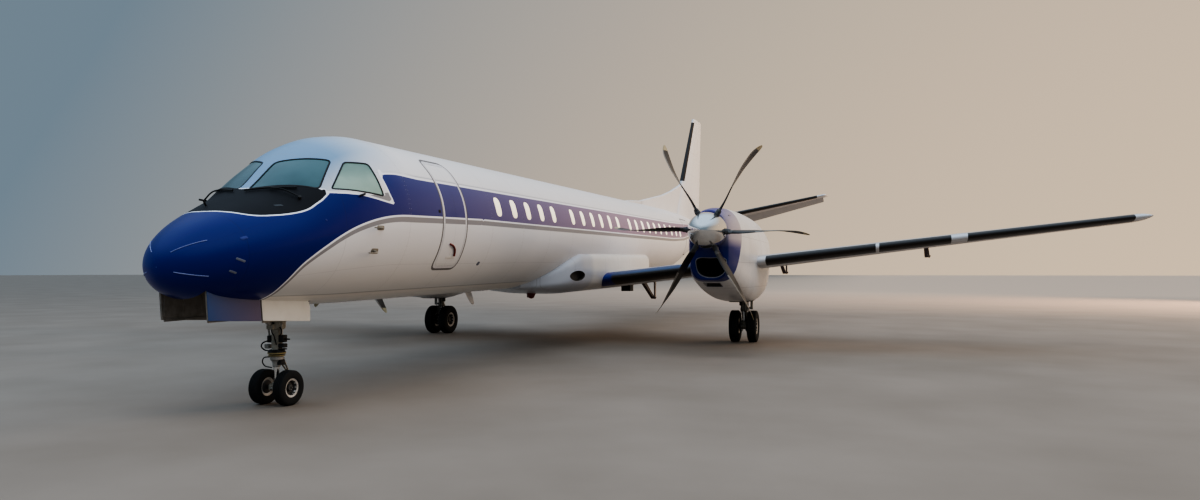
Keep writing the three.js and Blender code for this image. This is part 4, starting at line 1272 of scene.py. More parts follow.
    def build_panes(self) -> None:
        """The cockpit's panes, each in a dark seal."""
        looks = {
            "windshield": (self.windshield, (0.022, 0.075, 0.090), (0.075, 0.165, 0.185),
                           2.6, 3.1, 0.25),
            "side_window": (self.side_window, (0.10, 0.19, 0.165), (0.34, 0.47, 0.40),
                            2.95, 2.62, -0.25),
        }
        seal = SEAL.make()
        for node, (outline, dark, pale, low, high, lean) in looks.items():
            glass = cockpit_glass(f"{node}_glass", dark, pale, low, high, lean)
            pane = self.inlay(outline, *self.eye_span, -self.seal_width * 0.7,
                              -self.pane_recess, self.pane_depth, f"{node}_left_pane")
            rim = self.inlay(outline, *self.eye_span, -0.001, 0.002, self.pane_depth,
                             f"{node}_left_seal")
            carve(rim, [outline.tool("hole", -self.seal_width)])
            ride_pair(smooth(coat(pane, glass)), "airframe", "cockpit_glass", f"{node}_left")
            ride_pair(smooth(coat(rim, seal)), "airframe", "tyre_rubber")

    def pane_spots(self, side: Side) -> Points:
        """Where the cabin panes stand on one side."""
        stations = np.array(self.windows)
        level = stations * 0
        turn = SKIN.turn_of(
            np.column_stack([level + self.window_x, stations, level + self.window_height]))
        spots = SKIN.at(stations, turn, self.window_sink)
        spots[:, 0] *= side.value
        return to_row(spots)

    def build_windows(self) -> None:
        """Warm cabin panes, each with a pale rim."""
        glow = cabin_glow("cabin_glow")
        wide, tall = self.window_size
        for side in Side:
            pane = window_pane(wide - self.window_play, tall - self.window_play, side)
            row = points_object("pane_spots", self.pane_spots(side))
            made = repeated(f"cabin_panes_{side.word}", row, pane, glow)
            ride_on(smooth(made), "airframe", "cockpit_glass")

    def build(self) -> None:
        """Every piece of the fuselage."""
        self.build_shells()
        self.build_doors()
        self.build_panes()
        self.build_windows()


# A cabin pane's corner radius, its lean in degrees and the round of the cabin, and its section.
PANE_CORNER = 0.105
PANE_LEAN = 16.0
PANE_ROUND = 2.3
PANE_ROWS = ((-0.006, 1.0), (0.0, 1.0), (0.0025, 0.9), (0.004, 0.5), (0.0045, 0.02))


def window_pane(wide: float, tall: float, side: Side) -> Piece:
    """One cabin pane, curved as the cabin is, round the origin.

    Args:
        wide: Its length along the cabin.
        tall: Its height.
        side: The side that it faces.

    Returns:
        The pane's mesh, as a tool for repeating.
    """
    outline = rounded(rectangle(-wide / 2, -tall / 2, wide / 2, tall / 2), PANE_CORNER, 6)
    rings = []
    lean = math.sin(math.radians(PANE_LEAN))
    for depth, share in PANE_ROWS:
        ring = np.zeros((len(outline), 3))
        ring[:, 1] = outline[:, 0] * share
        ring[:, 2] = outline[:, 1] * share
        up = ring[:, 2]
        ring[:, 0] = side.value * (depth - lean * up - up**2 / PANE_ROUND)
        rings.append(ring)
    verts, faces = skin_over(rings)
    return outward(make_object("pane", verts, faces))


def points_object(name: str, points: Points, normals: Optional[Points] = None) -> Piece:
    """Loose points for a tree to repeat a piece on.

    Args:
        name: The object's name.
        points: Rows of x, y and z.
        normals: The way out at each point.

    Returns:
        The object, its ways out stored as "way".
    """
    made = make_object(name, points, [])
    if normals is not None:
        held = made.data.attributes.new("way", "FLOAT_VECTOR", "POINT")
        held.data.foreach_set("vector", np.asarray(normals, np.float32).ravel())
    return made


def rivet_head(tree: bpy.types.NodeTree, place: bpy.types.Node) -> None:
    """Feed a node that places pieces with a small dome, turned the way its point says.

    Args:
        tree: The tree that both stand in.
        place: The node that places pieces on points.
    """
    node, link = tree.nodes.new, tree.links.new
    dome, way = node("GeometryNodeMeshCone"), node("GeometryNodeInputNamedAttribute")
    turn = node("FunctionNodeAlignRotationToVector")
    sizes = (("Vertices", 6), ("Radius Top", 0.55), ("Radius Bottom", 1.0), ("Depth", 0.35))
    for word, value in sizes:
        dome.inputs[word].default_value = value
    way.data_type = "FLOAT_VECTOR"
    way.inputs["Name"].default_value = "way"
    link(way.outputs["Attribute"], turn.inputs["Vector"])
    link(turn.outputs["Rotation"], place.inputs["Rotation"])
    link(dome.outputs["Mesh"], place.inputs["Instance"])


def repeated(
    name: str, row: Piece, piece: Optional[Piece], finish: Paint, size: float = 1.0
) -> Piece:
    """Repeat a piece, or a domed rivet where there is none, on loose points.

    Args:
        name: The finished piece's name.
        row: The points, with "way" stored where the piece is a rivet.
        piece: What is repeated, which is removed afterwards.
        finish: The material.
        size: A rivet's radius, or the scale of a piece.

    Returns:
        The finished plain mesh.
    """
    tree = bpy.data.node_groups.new(name, "GeometryNodeTree")
    face, node, link = tree.interface, tree.nodes.new, tree.links.new
    face.new_socket("Geometry", in_out="INPUT", socket_type="NodeSocketGeometry")
    values = (("Size", "Float", size), ("Piece", "Object", piece), ("Finish", "Material", finish))
    sockets = [face.new_socket(word, in_out="INPUT", socket_type=f"NodeSocket{kind}")
               for word, kind, _ in values]
    face.new_socket("Geometry", in_out="OUTPUT", socket_type="NodeSocketGeometry")
    start, end = node("NodeGroupInput"), node("NodeGroupOutput")
    place = node("GeometryNodeInstanceOnPoints")
    real, paint = node("GeometryNodeRealizeInstances"), node("GeometryNodeSetMaterial")
    if piece is None:
        rivet_head(tree, place)
    else:
        info = node("GeometryNodeObjectInfo")
        link(start.outputs["Piece"], info.inputs["Object"])
        link(info.outputs["Geometry"], place.inputs["Instance"])
    for source, output, target, wanted in (
        (start, "Geometry", place, "Points"), (start, "Size", place, "Scale"),
        (place, "Instances", real, "Geometry"), (real, "Geometry", paint, "Geometry"),
        (start, "Finish", paint, "Material"), (paint, "Geometry", end, "Geometry"),
    ):
        link(source.outputs[output], target.inputs[wanted])
    step = row.modifiers.new("repeat", "NODES")
    step.node_group = tree
    for socket, (_, _, value) in zip(sockets, values):
        step[socket.identifier] = value
    settled(row)
    row.name = name
    row.data.name = name
    if not row.data.materials:
        row.data.materials.append(finish)
    if piece is not None:
        drop(piece)
    return row


# Wings and tail.


def section_shares(steps: int = 22) -> Points:
    """Shares of the chord from the leading edge aft, close together in front."""
    return 1 - np.cos(math.pi * np.arange(steps + 1) / (2 * steps))


@dataclass(frozen=True)
class Hinged:
    """A trailing surface, by the span that it takes and its hinge's share of the chord."""

    name: str
    slot: str
    inner: float
    outer: float
    hinge: float
    gap: float = 0.008
    root_gap: float = 0.008
    square: bool = True
    drop: float = 0.0
    # Degrees that the surface hangs at rest.
    droop: float = 0.0
    arms: tuple = ()


@dataclass(frozen=True)
class Plane:
    """A tapered, swept lifting surface with a straight leading edge."""

    name: str
    root_x: float
    root_station: float
    root_height: float
    sweep: float
    rise: float
    inner_x: float
    tip_x: float
    cap_length: float
    root_chord: float
    tip_chord: float
    thickness: float
    incidence: float
    upright: bool = False

    def chord(self, x: float) -> float:
        """The chord at a place along the span."""
        share = (x - self.root_x) / (self.tip_x - self.root_x)
        return self.root_chord + (self.tip_chord - self.root_chord) * share

    def place(self, x: float, aft: float, up: float) -> Points:
        """A point from x and from shares of the chord aft and up."""
        out, chord = x - self.root_x, self.chord(x)
        return np.array([
            x,
            self.root_station + self.sweep * out + aft * chord,
            self.root_height + self.rise * out + (up - self.incidence * aft) * chord,
        ])

    def half_thickness(self, aft: float) -> float:
        """Half the section's thickness at a share of the chord."""
        if aft <= 0:
            return 0.0
        curve = (0.2969 * math.sqrt(aft) - 0.126 * aft - 0.3516 * aft**2
                 + 0.2843 * aft**3 - 0.1015 * aft**4)
        return 5 * self.thickness * curve + 0.0015

    def ring(self, x: float, height: float = 1.0, front: float = 0.0, rear: float = 1.0) -> Points:
        """The section at a place along the span, over the top and back underneath."""
        shares = section_shares()
        upper = [self.place(x, front + s * (rear - front), self.half_thickness(s) * height)
                 for s in shares[::-1]]
        lower = [self.place(x, front + s * (rear - front), -self.half_thickness(s) * height)
                 for s in shares[1:]]
        return np.array([*upper, *lower])

    def body(self, name: str) -> Piece:
        """The whole surface with its rounded tip."""
        cap = self.tip_x - self.cap_length
        spans = np.linspace(self.inner_x, cap, 24)
        rings = [self.ring(x) for x in spans]
        for k in range(1, 9):
            turn = math.pi / 2 * k / 8
            share = math.sin(turn)
            height = max(math.cos(turn), 0.10)
            rings.append(self.ring(cap + share * self.cap_length, height,
                                   0.20 * (1 - math.cos(turn)), 1 - 0.10 * (1 - math.cos(turn))))
        return loft(name, [self.stand(r) for r in rings])

    def stand(self, points: Points) -> Points:
        """Stand the surface up where it is a fin."""
        if not self.upright:
            return points
        return np.stack([-points[..., 2], points[..., 1], points[..., 0]], -1)

    def hinge_point(self, part: Hinged, x: float) -> Points:
        """Where the hinge line passes a place along the span."""
        return self.place(x, part.hinge, 0.0)

    def hinge_way(self, part: Hinged) -> Points:
        """The hinge line's direction."""
        way = self.hinge_point(part, part.outer) - self.hinge_point(part, part.inner)
        return way / np.linalg.norm(way)

    def square_off(self, ring: Points, part: Hinged, x: float) -> Points:
        """Move a ring into the plane square to the hinge line."""
        if not part.square:
            return ring
        way, hinge = self.hinge_way(part), self.hinge_point(part, x)
        off = way[1] * (ring[:, 1] - hinge[1]) + way[2] * (ring[:, 2] - hinge[2])
        out = ring.copy()
        out[:, 0] -= off / way[0]
        return out

    def arc(self, part: Hinged, x: float, radius: float, first: float, last: float) -> Points:
        """Points round the hinge line's front."""
        hinge = self.hinge_point(part, x)
        turn = np.linspace(first, last, 15)
        return np.stack([np.full_like(turn, x), hinge[1] + radius * np.cos(turn),
                         hinge[2] + radius * np.sin(turn)], 1)

    def surface_ring(self, part: Hinged, x: float) -> Points:
        """The section of a trailing surface."""
        radius = self.half_thickness(part.hinge) * self.chord(x)
        behind = [part.hinge + s * (1 - part.hinge) for s in (1, 0.86, 0.72, 0.56, 0.4, 0.24, 0.1)]
        upper = [self.place(x, a, self.half_thickness(a)) for a in behind]
        lower = [self.place(x, a, -self.half_thickness(a)) for a in behind[::-1]]
        nose = self.arc(part, x, radius * 0.99, math.pi / 2, 1.5 * math.pi)
        ring = self.hung(np.array([*upper, *nose, *lower]), part, x)
        return self.square_off(ring, part, x)

    def hung(self, ring: Points, part: Hinged, x: float) -> Points:
        """Let a ring hang about its hinge by the surface's droop."""
        hinge, turn = self.hinge_point(part, x), math.radians(part.droop)
        aft, up = ring[:, 1] - hinge[1], ring[:, 2] - hinge[2]
        c, s = math.cos(turn), math.sin(turn)
        return np.column_stack([ring[:, 0], hinge[1] + aft * c + up * s, hinge[2] - aft * s + up * c])

    def cove_ring(self, part: Hinged, x: float) -> Points:
        """The section of the room behind the fixed part."""
        hinge, chord = self.hinge_point(part, x), self.chord(x)
        radius = self.half_thickness(part.hinge) * chord + part.gap
        lean, reach = 0.1, 0.2 * chord
        nose = self.arc(part, x, radius, math.pi / 2 + lean, 1.5 * math.pi - lean)
        ring = np.array([
            [x, nose[0][1], hinge[2] + reach], *nose, [x, nose[0][1], hinge[2] - reach],
            [x, hinge[1] + 0.5 * chord, hinge[2] - reach], [x, hinge[1] + 0.5 * chord, hinge[2] + reach],
        ])
        return self.square_off(ring, part, x)

    def moving(self, part: Hinged) -> Piece:
        """A trailing surface, port side."""
        end = part.gap if part.square else 0.0
        spans = np.linspace(part.inner + part.root_gap, part.outer - end, 14)
        rings = [self.surface_ring(part, x) for x in spans]
        return loft(f"{part.name}_skin", [self.stand(r) for r in rings])

    def room(self, part: Hinged) -> Piece:
        """The room of a trailing surface in the fixed part."""
        past = 0.0 if part.square else 0.3
        rings = [self.cove_ring(part, x) for x in (part.inner, part.outer + past)]
        return loft("room", [self.stand(r) for r in rings])

    def dress(self, piece: Piece, finish: Paint) -> None:
        """Store each point's place along the span and behind the leading edge."""
        body = to_body(corners_of(piece))
        out = body[:, 2] if self.upright else np.abs(body[:, 0])
        aft = body[:, 1] - self.root_station - self.sweep * (out - self.root_x)
        middle = self.root_height + self.rise * (out - self.root_x)
        up = body[:, 0] if self.upright else body[:, 2] - middle + self.incidence * aft
        for name, values in (("aft", aft), ("span", out), ("share", aft / self.chord(out)), ("up", up)):
            mark(piece, name, values)
        smooth(coat(piece, finish), 28.0)


@dataclass(frozen=True)
class SurfacePaint:
    """A wing's or tail's paint with the rubber boots on its leading edge."""

    name: str
    base: tuple
    # Spans of the boots along the surface.
    boots: tuple
    depth: float
    # How far the boots reach underneath, and the span inside which they reach further aft and the top of
    # the black rubber carries a painted blue reflection.
    under: float = 0.0
    blue_inside: float = 0.0

    def make(self) -> Paint:
        """Build the material."""
        g = Graph(self.name)
        aft, span = g.value_of("aft"), g.value_of("span")
        share = g.value_of("share")
        fine, dirt = g.noise(40.0), g.noise(1.6, 4.0, (1, 2.5, 1))
        paint = g.mix(g.ramp(dirt, 0.35, 0.85, 0.0, 0.10), self.base, (0.36, 0.34, 0.32))
        lines = g.sum("MAXIMUM", g.joints(span, 0.92, 0.006), g.joints(share, 0.30, 0.004))
        paint = g.mix(g.times(lines, 0.4), paint, (0.2, 0.2, 0.2))
        cover = None
        for low, high in self.boots:
            held = g.band(span, low, high, 0.004)
            cover = held if cover is None else g.sum("MAXIMUM", cover, held)
        below = g.ramp(g.value_of("up"), 0.004, -0.004)
        limit = g.plus(self.depth, g.times(below, self.under))
        if self.blue_inside:
            wide = g.ramp(span, self.blue_inside + 1.2, self.blue_inside + 1.1, 0.0, 0.17)
            limit = g.plus(limit, wide)
        cover = g.times(cover, g.sum("LESS_THAN", aft, limit))
        black = g.mix(fine, (0.012, 0.009, 0.008), (0.034, 0.028, 0.025))
        # Towards the root the boot's top turns blue: painted reflection on the black rubber.
        if self.blue_inside:
            near = g.ramp(span, self.blue_inside + 0.6, self.blue_inside)
            top = g.times(near, g.ramp(g.value_of("up"), 0.030, 0.075))
            end = g.ramp(span, 1.36, 1.30)
            black = g.mix(top, black, (0.025, 0.060, 0.16))
            black = g.mix(end, black, (0.002, 0.018, 0.20))
        tip = g.times(g.sum("LESS_THAN", aft, self.depth * 0.8),
                    g.minus(1.0, cover))
        paint = g.mix(g.times(tip, 0.6), paint, (0.74, 0.75, 0.78))
        paint = g.mix(cover, paint, black)
        rough = g.plus(g.ramp(fine, 0.3, 0.7, 0.30, 0.42), g.times(cover, 0.08))
        ribs = g.times(g.joints(aft, 0.045, 0.012), cover)
        g.set(Base_Color=paint, Roughness=rough, Coat_Weight=0.15, Coat_Roughness=0.1)
        g.bump(g.minus(g.times(ribs, 0.6), lines), 0.0018, 0.4)
        return g.material


WING = Plane("wing", 1.130, 9.245, -1.020, 0.1, 0.1136, 0.7, 12.38, 0.36, 3.027, 1.3, 0.118, 0.035)
TAILPLANE = Plane("tailplane", 0.3, 22.45, 0.86, 0.283, 0.21, 0.27, 5.28, 0.12, 2.5, 1.05, 0.11, 0.0)
FIN = Plane("fin", 1.0, 20.75, 0.0, 0.765, 0.0, 0.5, 5.22, 0.06, 4.15, 1.55, 0.1, 0.0, upright=True)

FLAP_IN = Hinged("flap_inboard", "grey_paint", 1.56, 3.26, 0.74, drop=0.52, arms=(1.69, 3.12))
FLAP_OUT = Hinged("flap_outboard", "grey_paint", 4.9, 8.58, 0.74, drop=0.27, arms=(5.02, 8.19))
AILERON = Hinged("aileron", "grey_paint", 8.7, 12.0, 0.76)
ELEVATOR = Hinged("elevator", "grey_paint", 0.47, 5.12, 0.64, droop=27.0)
RUDDER = Hinged("rudder", "white_paint", 1.44, 5.22, 0.68, root_gap=0.034, square=False)


@dataclass
class Wings:
    """Both wings with their flaps, ailerons and flap hangers."""

    boss: float = 0.036
    arm_width: float = 0.032
    hanger_width: float = 0.070
    arm_gap: float = 0.008
    top_front: float = 0.055
    top_rear: float = 0.095
    waist: float = 0.020
    hanger_front: float = 0.80
    hanger_rear: float = 0.56
    hanger_seat: float = 0.3
    pin: float = 0.014

    def plate(
        self, part: Hinged, x: float, corners: Points, first: float, last: float, name: str
    ) -> Piece:
        """A flat plate square to the hinge line, rounded at its corners."""
        ring = rounded(corners, 0.03, 3)
        ring = np.column_stack([np.full(len(ring), x), ring])
        flat = WING.square_off(ring, part, x)
        steps = [np.array([d, 0, 0]) for d in (first, last)]
        return loft(name, [flat + s for s in steps])

    def arm(self, part: Hinged, x: float) -> Piece:
        """The flap's own arm down to its pin."""
        _, y, z = WING.hinge_point(part, x)
        chord, foot = WING.chord(x), z - part.drop
        inside = z - 0.2 * WING.half_thickness(part.hinge) * chord
        corners = np.array([
            (y + self.top_front * chord, inside), (y - self.boss, foot + self.waist),
            (y - self.waist, foot - self.boss), (y + self.waist, foot - self.boss),
            (y + self.boss, foot), (y + self.top_rear * chord, inside),
        ])
        return self.plate(part, x, corners, 0.0, self.arm_width, "arm")

    def hanger(self, part: Hinged, x: float) -> Piece:
        """The wing's slanting hanger that carries the pin."""
        _, y, z = WING.hinge_point(part, x)
        chord, foot = WING.chord(x), z - part.drop
        share = part.drop / FLAP_IN.drop

        def seat(distance: float) -> Points:
            """A place on the wing's underside ahead of the hinge."""
            aft = part.hinge - distance / chord
            up = -(1 - self.hanger_seat) * WING.half_thickness(aft)
            return WING.place(x, aft, up)[1:]

        corners = np.array([
            seat(self.hanger_rear * share), seat(self.hanger_front * share),
            (y - self.boss, foot - self.waist), (y + self.waist, foot - self.boss),
            (y + self.boss, foot + self.waist),
        ])
        return self.plate(part, x, corners, -self.arm_gap - self.hanger_width, -self.arm_gap, "hanger")

    def pin_bar(self, part: Hinged, x: float, radius: float, extra: float = 0.0) -> Piece:
        """The pin through a hanger and an arm."""
        hinge = WING.hinge_point(part, x)
        foot = WING.square_off(np.array([[x, hinge[1], hinge[2] - part.drop]]), part, x)[0]
        way = WING.hinge_way(part)
        reach = 0.044 + self.arm_gap + extra
        return bar("pin", [foot - way * reach, foot + way * reach], [radius, radius], Frame.BODY)

    def build(self) -> None:
        """Every piece of both wings."""
        boots = ((1.0, 3.45), (4.80, 7.10), (7.17, 8.60), (8.92, 12.00))
        paint = SurfacePaint("wing_paint", (0.50, 0.50, 0.51), boots, 0.150, 0.10, 3.3).make()
        metal = Finish("flap_arm", (0.40, 0.33, 0.32), (0.30, 0.25, 0.24), 0.42).make()
        dark = Finish("hanger_brown", (0.075, 0.045, 0.055), (0.12, 0.085, 0.09), 0.45).make()
        wing = WING.body("wing_left_skin")
        carve(wing, [WING.room(p) for p in (FLAP_IN, FLAP_OUT, AILERON)])
        hangers = []
        for part in (FLAP_IN, FLAP_OUT, AILERON):
            moving = WING.moving(part)
            WING.dress(moving, paint)
            blades = []
            for x in part.arms:
                blade = carve(self.arm(part, x), [self.pin_bar(part, x, self.pin + 0.0006, 0.05)])
                hangers += [self.hanger(part, x), self.pin_bar(part, x, self.pin)]
                blades.append(coat(blade, metal))
            if blades:
                moving = joined(moving.name, [moving, *blades])
            moving.name = f"{part.name}_left_skin"
            ride_pair(smooth(moving, 28.0), f"{part.name}_left", "grey_paint", f"{part.name}_left")
        WING.dress(wing, paint)
        hung = joined("flap_hangers_left", [coat(piece, dark) for piece in hangers])
        ride_pair(smooth(wing, 28.0), "airframe", "grey_paint", "wing_left")
        ride_pair(smooth(hung, 28.0), "airframe", "grey_paint")


@dataclass
class Tail:
    """The fin with its rudder and the tailplane with its elevators."""

    # Stations and heights along the top of the ridge in front of the fin.
    crest: tuple = ((16.2, 1.312), (17.14, 1.442), (18.81, 1.674), (20.09, 1.917), (21.66, 2.300),
                    (21.80, 2.360), (22.85, 2.360))
    # The low strake that leads up to it.
    strake: tuple = ((13.85, 1.130), (15.01, 1.232), (16.05, 1.290), (16.25, 1.316))
    ridge_half: float = 0.055

    def ridge(self, rows: tuple) -> Piece:
        """A thin ridge on the roof under a row of stations and heights."""
        outline = [(rows[0][0], 0.9), (rows[-1][0], 0.9), *rows[::-1]]
        rings = []
        for half, inset in ((-1.0, 0.03), (-0.55, 0.008), (0.0, 0.0), (0.55, 0.008), (1.0, 0.03)):
            ring = [(half * self.ridge_half, s, h - inset * (h > 0.95)) for s, h in outline]
            rings.append(np.array(ring))
        return loft("ridge", rings)

    def build(self) -> None:
        """Every piece of the tail."""
        fin_paint = SurfacePaint("fin_paint", (0.78, 0.77, 0.77), ((2.45, 5.03),), 0.15).make()
        tail_paint = SurfacePaint("tail_paint", (0.56, 0.555, 0.56), ((0.5, 4.93),), 0.15).make()
        strake = coat(self.ridge(self.strake), WHITE_PART.make())
        strake.name = "dorsal_strake"
        ride_on(smooth(strake), "airframe", "white_paint")
        fin = carve(FIN.body("fin_skin"), [self.ridge(self.crest)], Cut.ADD)
        carve(fin, [FIN.room(RUDDER)])
        FIN.dress(fin, fin_paint)
        ride_on(fin, "airframe", "white_paint", "fin")
        rudder = FIN.moving(RUDDER)
        FIN.dress(rudder, fin_paint)
        ride_on(rudder, "rudder", "white_paint", "rudder")
        plane = carve(TAILPLANE.body("tailplane_left_skin"), [TAILPLANE.room(ELEVATOR)])
        TAILPLANE.dress(plane, tail_paint)
        elevator = TAILPLANE.moving(ELEVATOR)
        TAILPLANE.dress(elevator, tail_paint)
        elevator.name = "elevator_left_skin"
        ride_pair(plane, "airframe", "grey_paint", "tailplane_left")
        ride_pair(elevator, "elevator_left", "grey_paint", "elevator_left")


# Nacelles, fairing and propellers.


def bead(name: str, path: Points, radius: float, sides: int = 8) -> Piece:
    """A round bead along a closed path of airframe points.

    Args:
        name: The object's name.
        path: Rows of x, station and height, the last joined to the first.
        radius: The bead's radius.
        sides: Sides round the bead.

    Returns:
        The closed bead.
    """
    p = np.asarray(path, float)
    ahead = np.roll(p, -1, 0) - np.roll(p, 1, 0)
    ahead /= np.linalg.norm(ahead, axis=1)[:, None]
    normal = np.linalg.svd(p - p.mean(0))[2][2]
    across = np.cross(ahead, normal)
    across /= np.linalg.norm(across, axis=1)[:, None]
    other = np.cross(ahead, across)
    rings = [p[i] + radius * hoop(across[i], other[i], sides) for i in [*range(len(p)), 0]]
    return loft(name, rings, closed=False)


@dataclass(frozen=True)
class Pod:
    """A body with fuller shoulders than an ellipse, from a table of sections."""

    # station, half width, top, bottom, widest
    table: tuple
    middle: float
    upper: float
    lower: float
    sides: int = 88

    def measures(self, station: float) -> list[float]:
        """Half width, top, bottom and widest height at a station."""
        rows = np.array(self.table).T
        return [float(monotone(rows[0], c, np.array([station]))[0]) for c in rows[1:]]

    def ring(self, station: float, grow: float = 0.0) -> Points:
        """The section at a station, or one that is larger all round."""
        width, top, bottom, widest = self.measures(station)
        turn = TAU * (np.arange(self.sides) + 0.5) / self.sides
        c, s = np.cos(turn), np.sin(turn)
        power = np.where(s > 0, self.upper, self.lower)
        reach = np.where(s > 0, top - widest, widest - bottom) + grow
        return np.stack([
            self.middle + (width + grow) * np.sign(c) * np.abs(c) ** power,
            np.full_like(turn, station),
            widest + reach * np.sign(s) * np.abs(s) ** power,
        ], 1)

    def body(self, name: str, front_lip: float = 0.0) -> Piece:
        """The closed pod, its front edge rounded by a lip."""
        first, last = self.table[0][0], self.table[-1][0]
        stations = [*np.arange(first + front_lip, last, 0.08), last]
        rings = [self.ring(s) for s in stations]
        for k in range(1, 6):
            turn = math.pi / 2 * k / 5
            rings.insert(0, self.ring(first + front_lip * (1 - math.sin(turn)),
                                      -front_lip * (1 - math.cos(turn))))
        return loft(name, rings) if front_lip else loft(name, rings[5:])


NACELLE = Pod((
    (7.08, 0.375, 0.370, -0.985, -0.150),
    (7.28, 0.440, 0.410, -1.015, -0.200),
    (7.75, 0.520, 0.455, -1.130, -0.300),
    (8.60, 0.550, 0.480, -1.340, -0.400),
    (9.60, 0.562, 0.475, -1.500, -0.450),
    (10.60, 0.560, 0.450, -1.575, -0.480),
    (11.50, 0.545, 0.400, -1.510, -0.480),
    (12.40, 0.490, 0.270, -1.200, -0.420),
    (13.20, 0.360, 0.040, -0.780, -0.340),
    (13.80, 0.130, -0.190, -0.470, -0.330),
), NACELLE_X, 0.95, 0.48)

FAIRING = Pod((
    (6.30, 0.420, -1.000, -1.160, -1.080),
    (6.85, 0.870, -0.770, -1.215, -0.985),
    (7.40, 1.105, -0.515, -1.270, -0.830),
    (8.00, 1.160, -0.370, -1.320, -0.720),
    (13.00, 1.160, -0.370, -1.320, -0.720),
    (13.60, 1.000, -0.570, -1.260, -0.880),
    (14.20, 0.740, -0.850, -1.200, -1.020),
    (14.70, 0.420, -1.010, -1.165, -1.090),
), 0.0, 0.45, 0.55)


def nacelle_paint() -> Paint:
    """The nacelle's paint: a blue front cowl ahead of a slanting edge, then white; the blue carries
    painted reflections.
    """
    g = Graph("nacelle_paint")
    body = g.plus(g.axis("Y"), ORIGIN_STATION)
    high = g.minus(g.axis("Z"), AXIS_HEIGHT)
    slant = g.minus(body, g.times(high, 0.55))
    dirt, fine = g.noise(1.8, 4.0), g.noise(40.0)
    white = g.mix(g.ramp(dirt, 0.4, 0.75, 0.0, 0.35), (0.70, 0.69, 0.69), (0.50, 0.47, 0.45))
    lines = g.sum("MAXIMUM", g.joints(body, 0.86, 0.008), g.joints(high, 0.52, 0.008))
    white = g.mix(g.times(lines, 0.5), white, (0.2, 0.2, 0.21))
    chin = g.ramp(high, -1.12, -0.95)
    # The blue lightens to violet towards the top: painted reflection.
    blue = g.mix(g.ramp(high, -0.5, 0.25), (0.004, 0.016, 0.17), (0.065, 0.055, 0.25))
    blue = g.mix(chin, (0.38, 0.33, 0.29), blue)
    # The outboard upper cowl turns pinkish grey: painted glare of the warm light.
    side = g.sum("MAXIMUM", g.axis("X"), g.times(g.axis("X"), -1.0))
    outer = g.ramp(side, NACELLE_X + 0.12, NACELLE_X + 0.42)
    outboard_glare = g.times(g.ramp(high, -0.24, -0.06), outer)
    blue = g.mix(g.times(outboard_glare, 0.8), blue, (0.50, 0.44, 0.45))
    paint = g.mix(g.band(slant, -9.0, 7.843, 0.004), white, blue)
    soot = g.times(g.ramp(body, 11.2, 13.2), g.ramp(high, 0.0, 0.3))
    paint = g.mix(g.times(soot, 0.55), paint, (0.07, 0.062, 0.055))
    g.set(Base_Color=paint, Roughness=g.ramp(fine, 0.3, 0.7, 0.30, 0.40), Coat_Weight=0.15,
          Coat_Roughness=0.08)
    g.bump(g.minus(g.times(g.noise(2.4, 1.0), 1.5), lines), 0.0015, 0.3)
    return g.material


def fairing_paint() -> Paint:
    """The belly fairing's paint, with its panel joints and painted shade on its front."""
    g = Graph("fairing_paint")
    body = g.plus(g.axis("Y"), ORIGIN_STATION)
    dirt, fine = g.noise(1.4, 4.0), g.noise(40.0)
    lines = g.sum("MAXIMUM", g.joints(body, 0.94, 0.008), g.joints(g.axis("X"), 0.7, 0.008))
    paint = g.mix(g.ramp(dirt, 0.4, 0.75, 0.0, 0.3), (0.70, 0.69, 0.67), (0.50, 0.46, 0.43))
    # The fairing's front is painted darker and bluer: painted shade with a sky reflection.
    paint = g.mix(g.ramp(body, 8.65, 8.35, 0.0, 0.65), paint, (0.42, 0.46, 0.54))
    paint = g.mix(g.times(lines, 0.5), paint, (0.24, 0.23, 0.23))
    g.set(Base_Color=paint, Roughness=g.ramp(fine, 0.3, 0.7, 0.3, 0.42), Coat_Weight=0.3,
          Coat_Roughness=0.08)
    g.bump(g.times(lines, -1.0), 0.0018, 0.4)
    return g.material


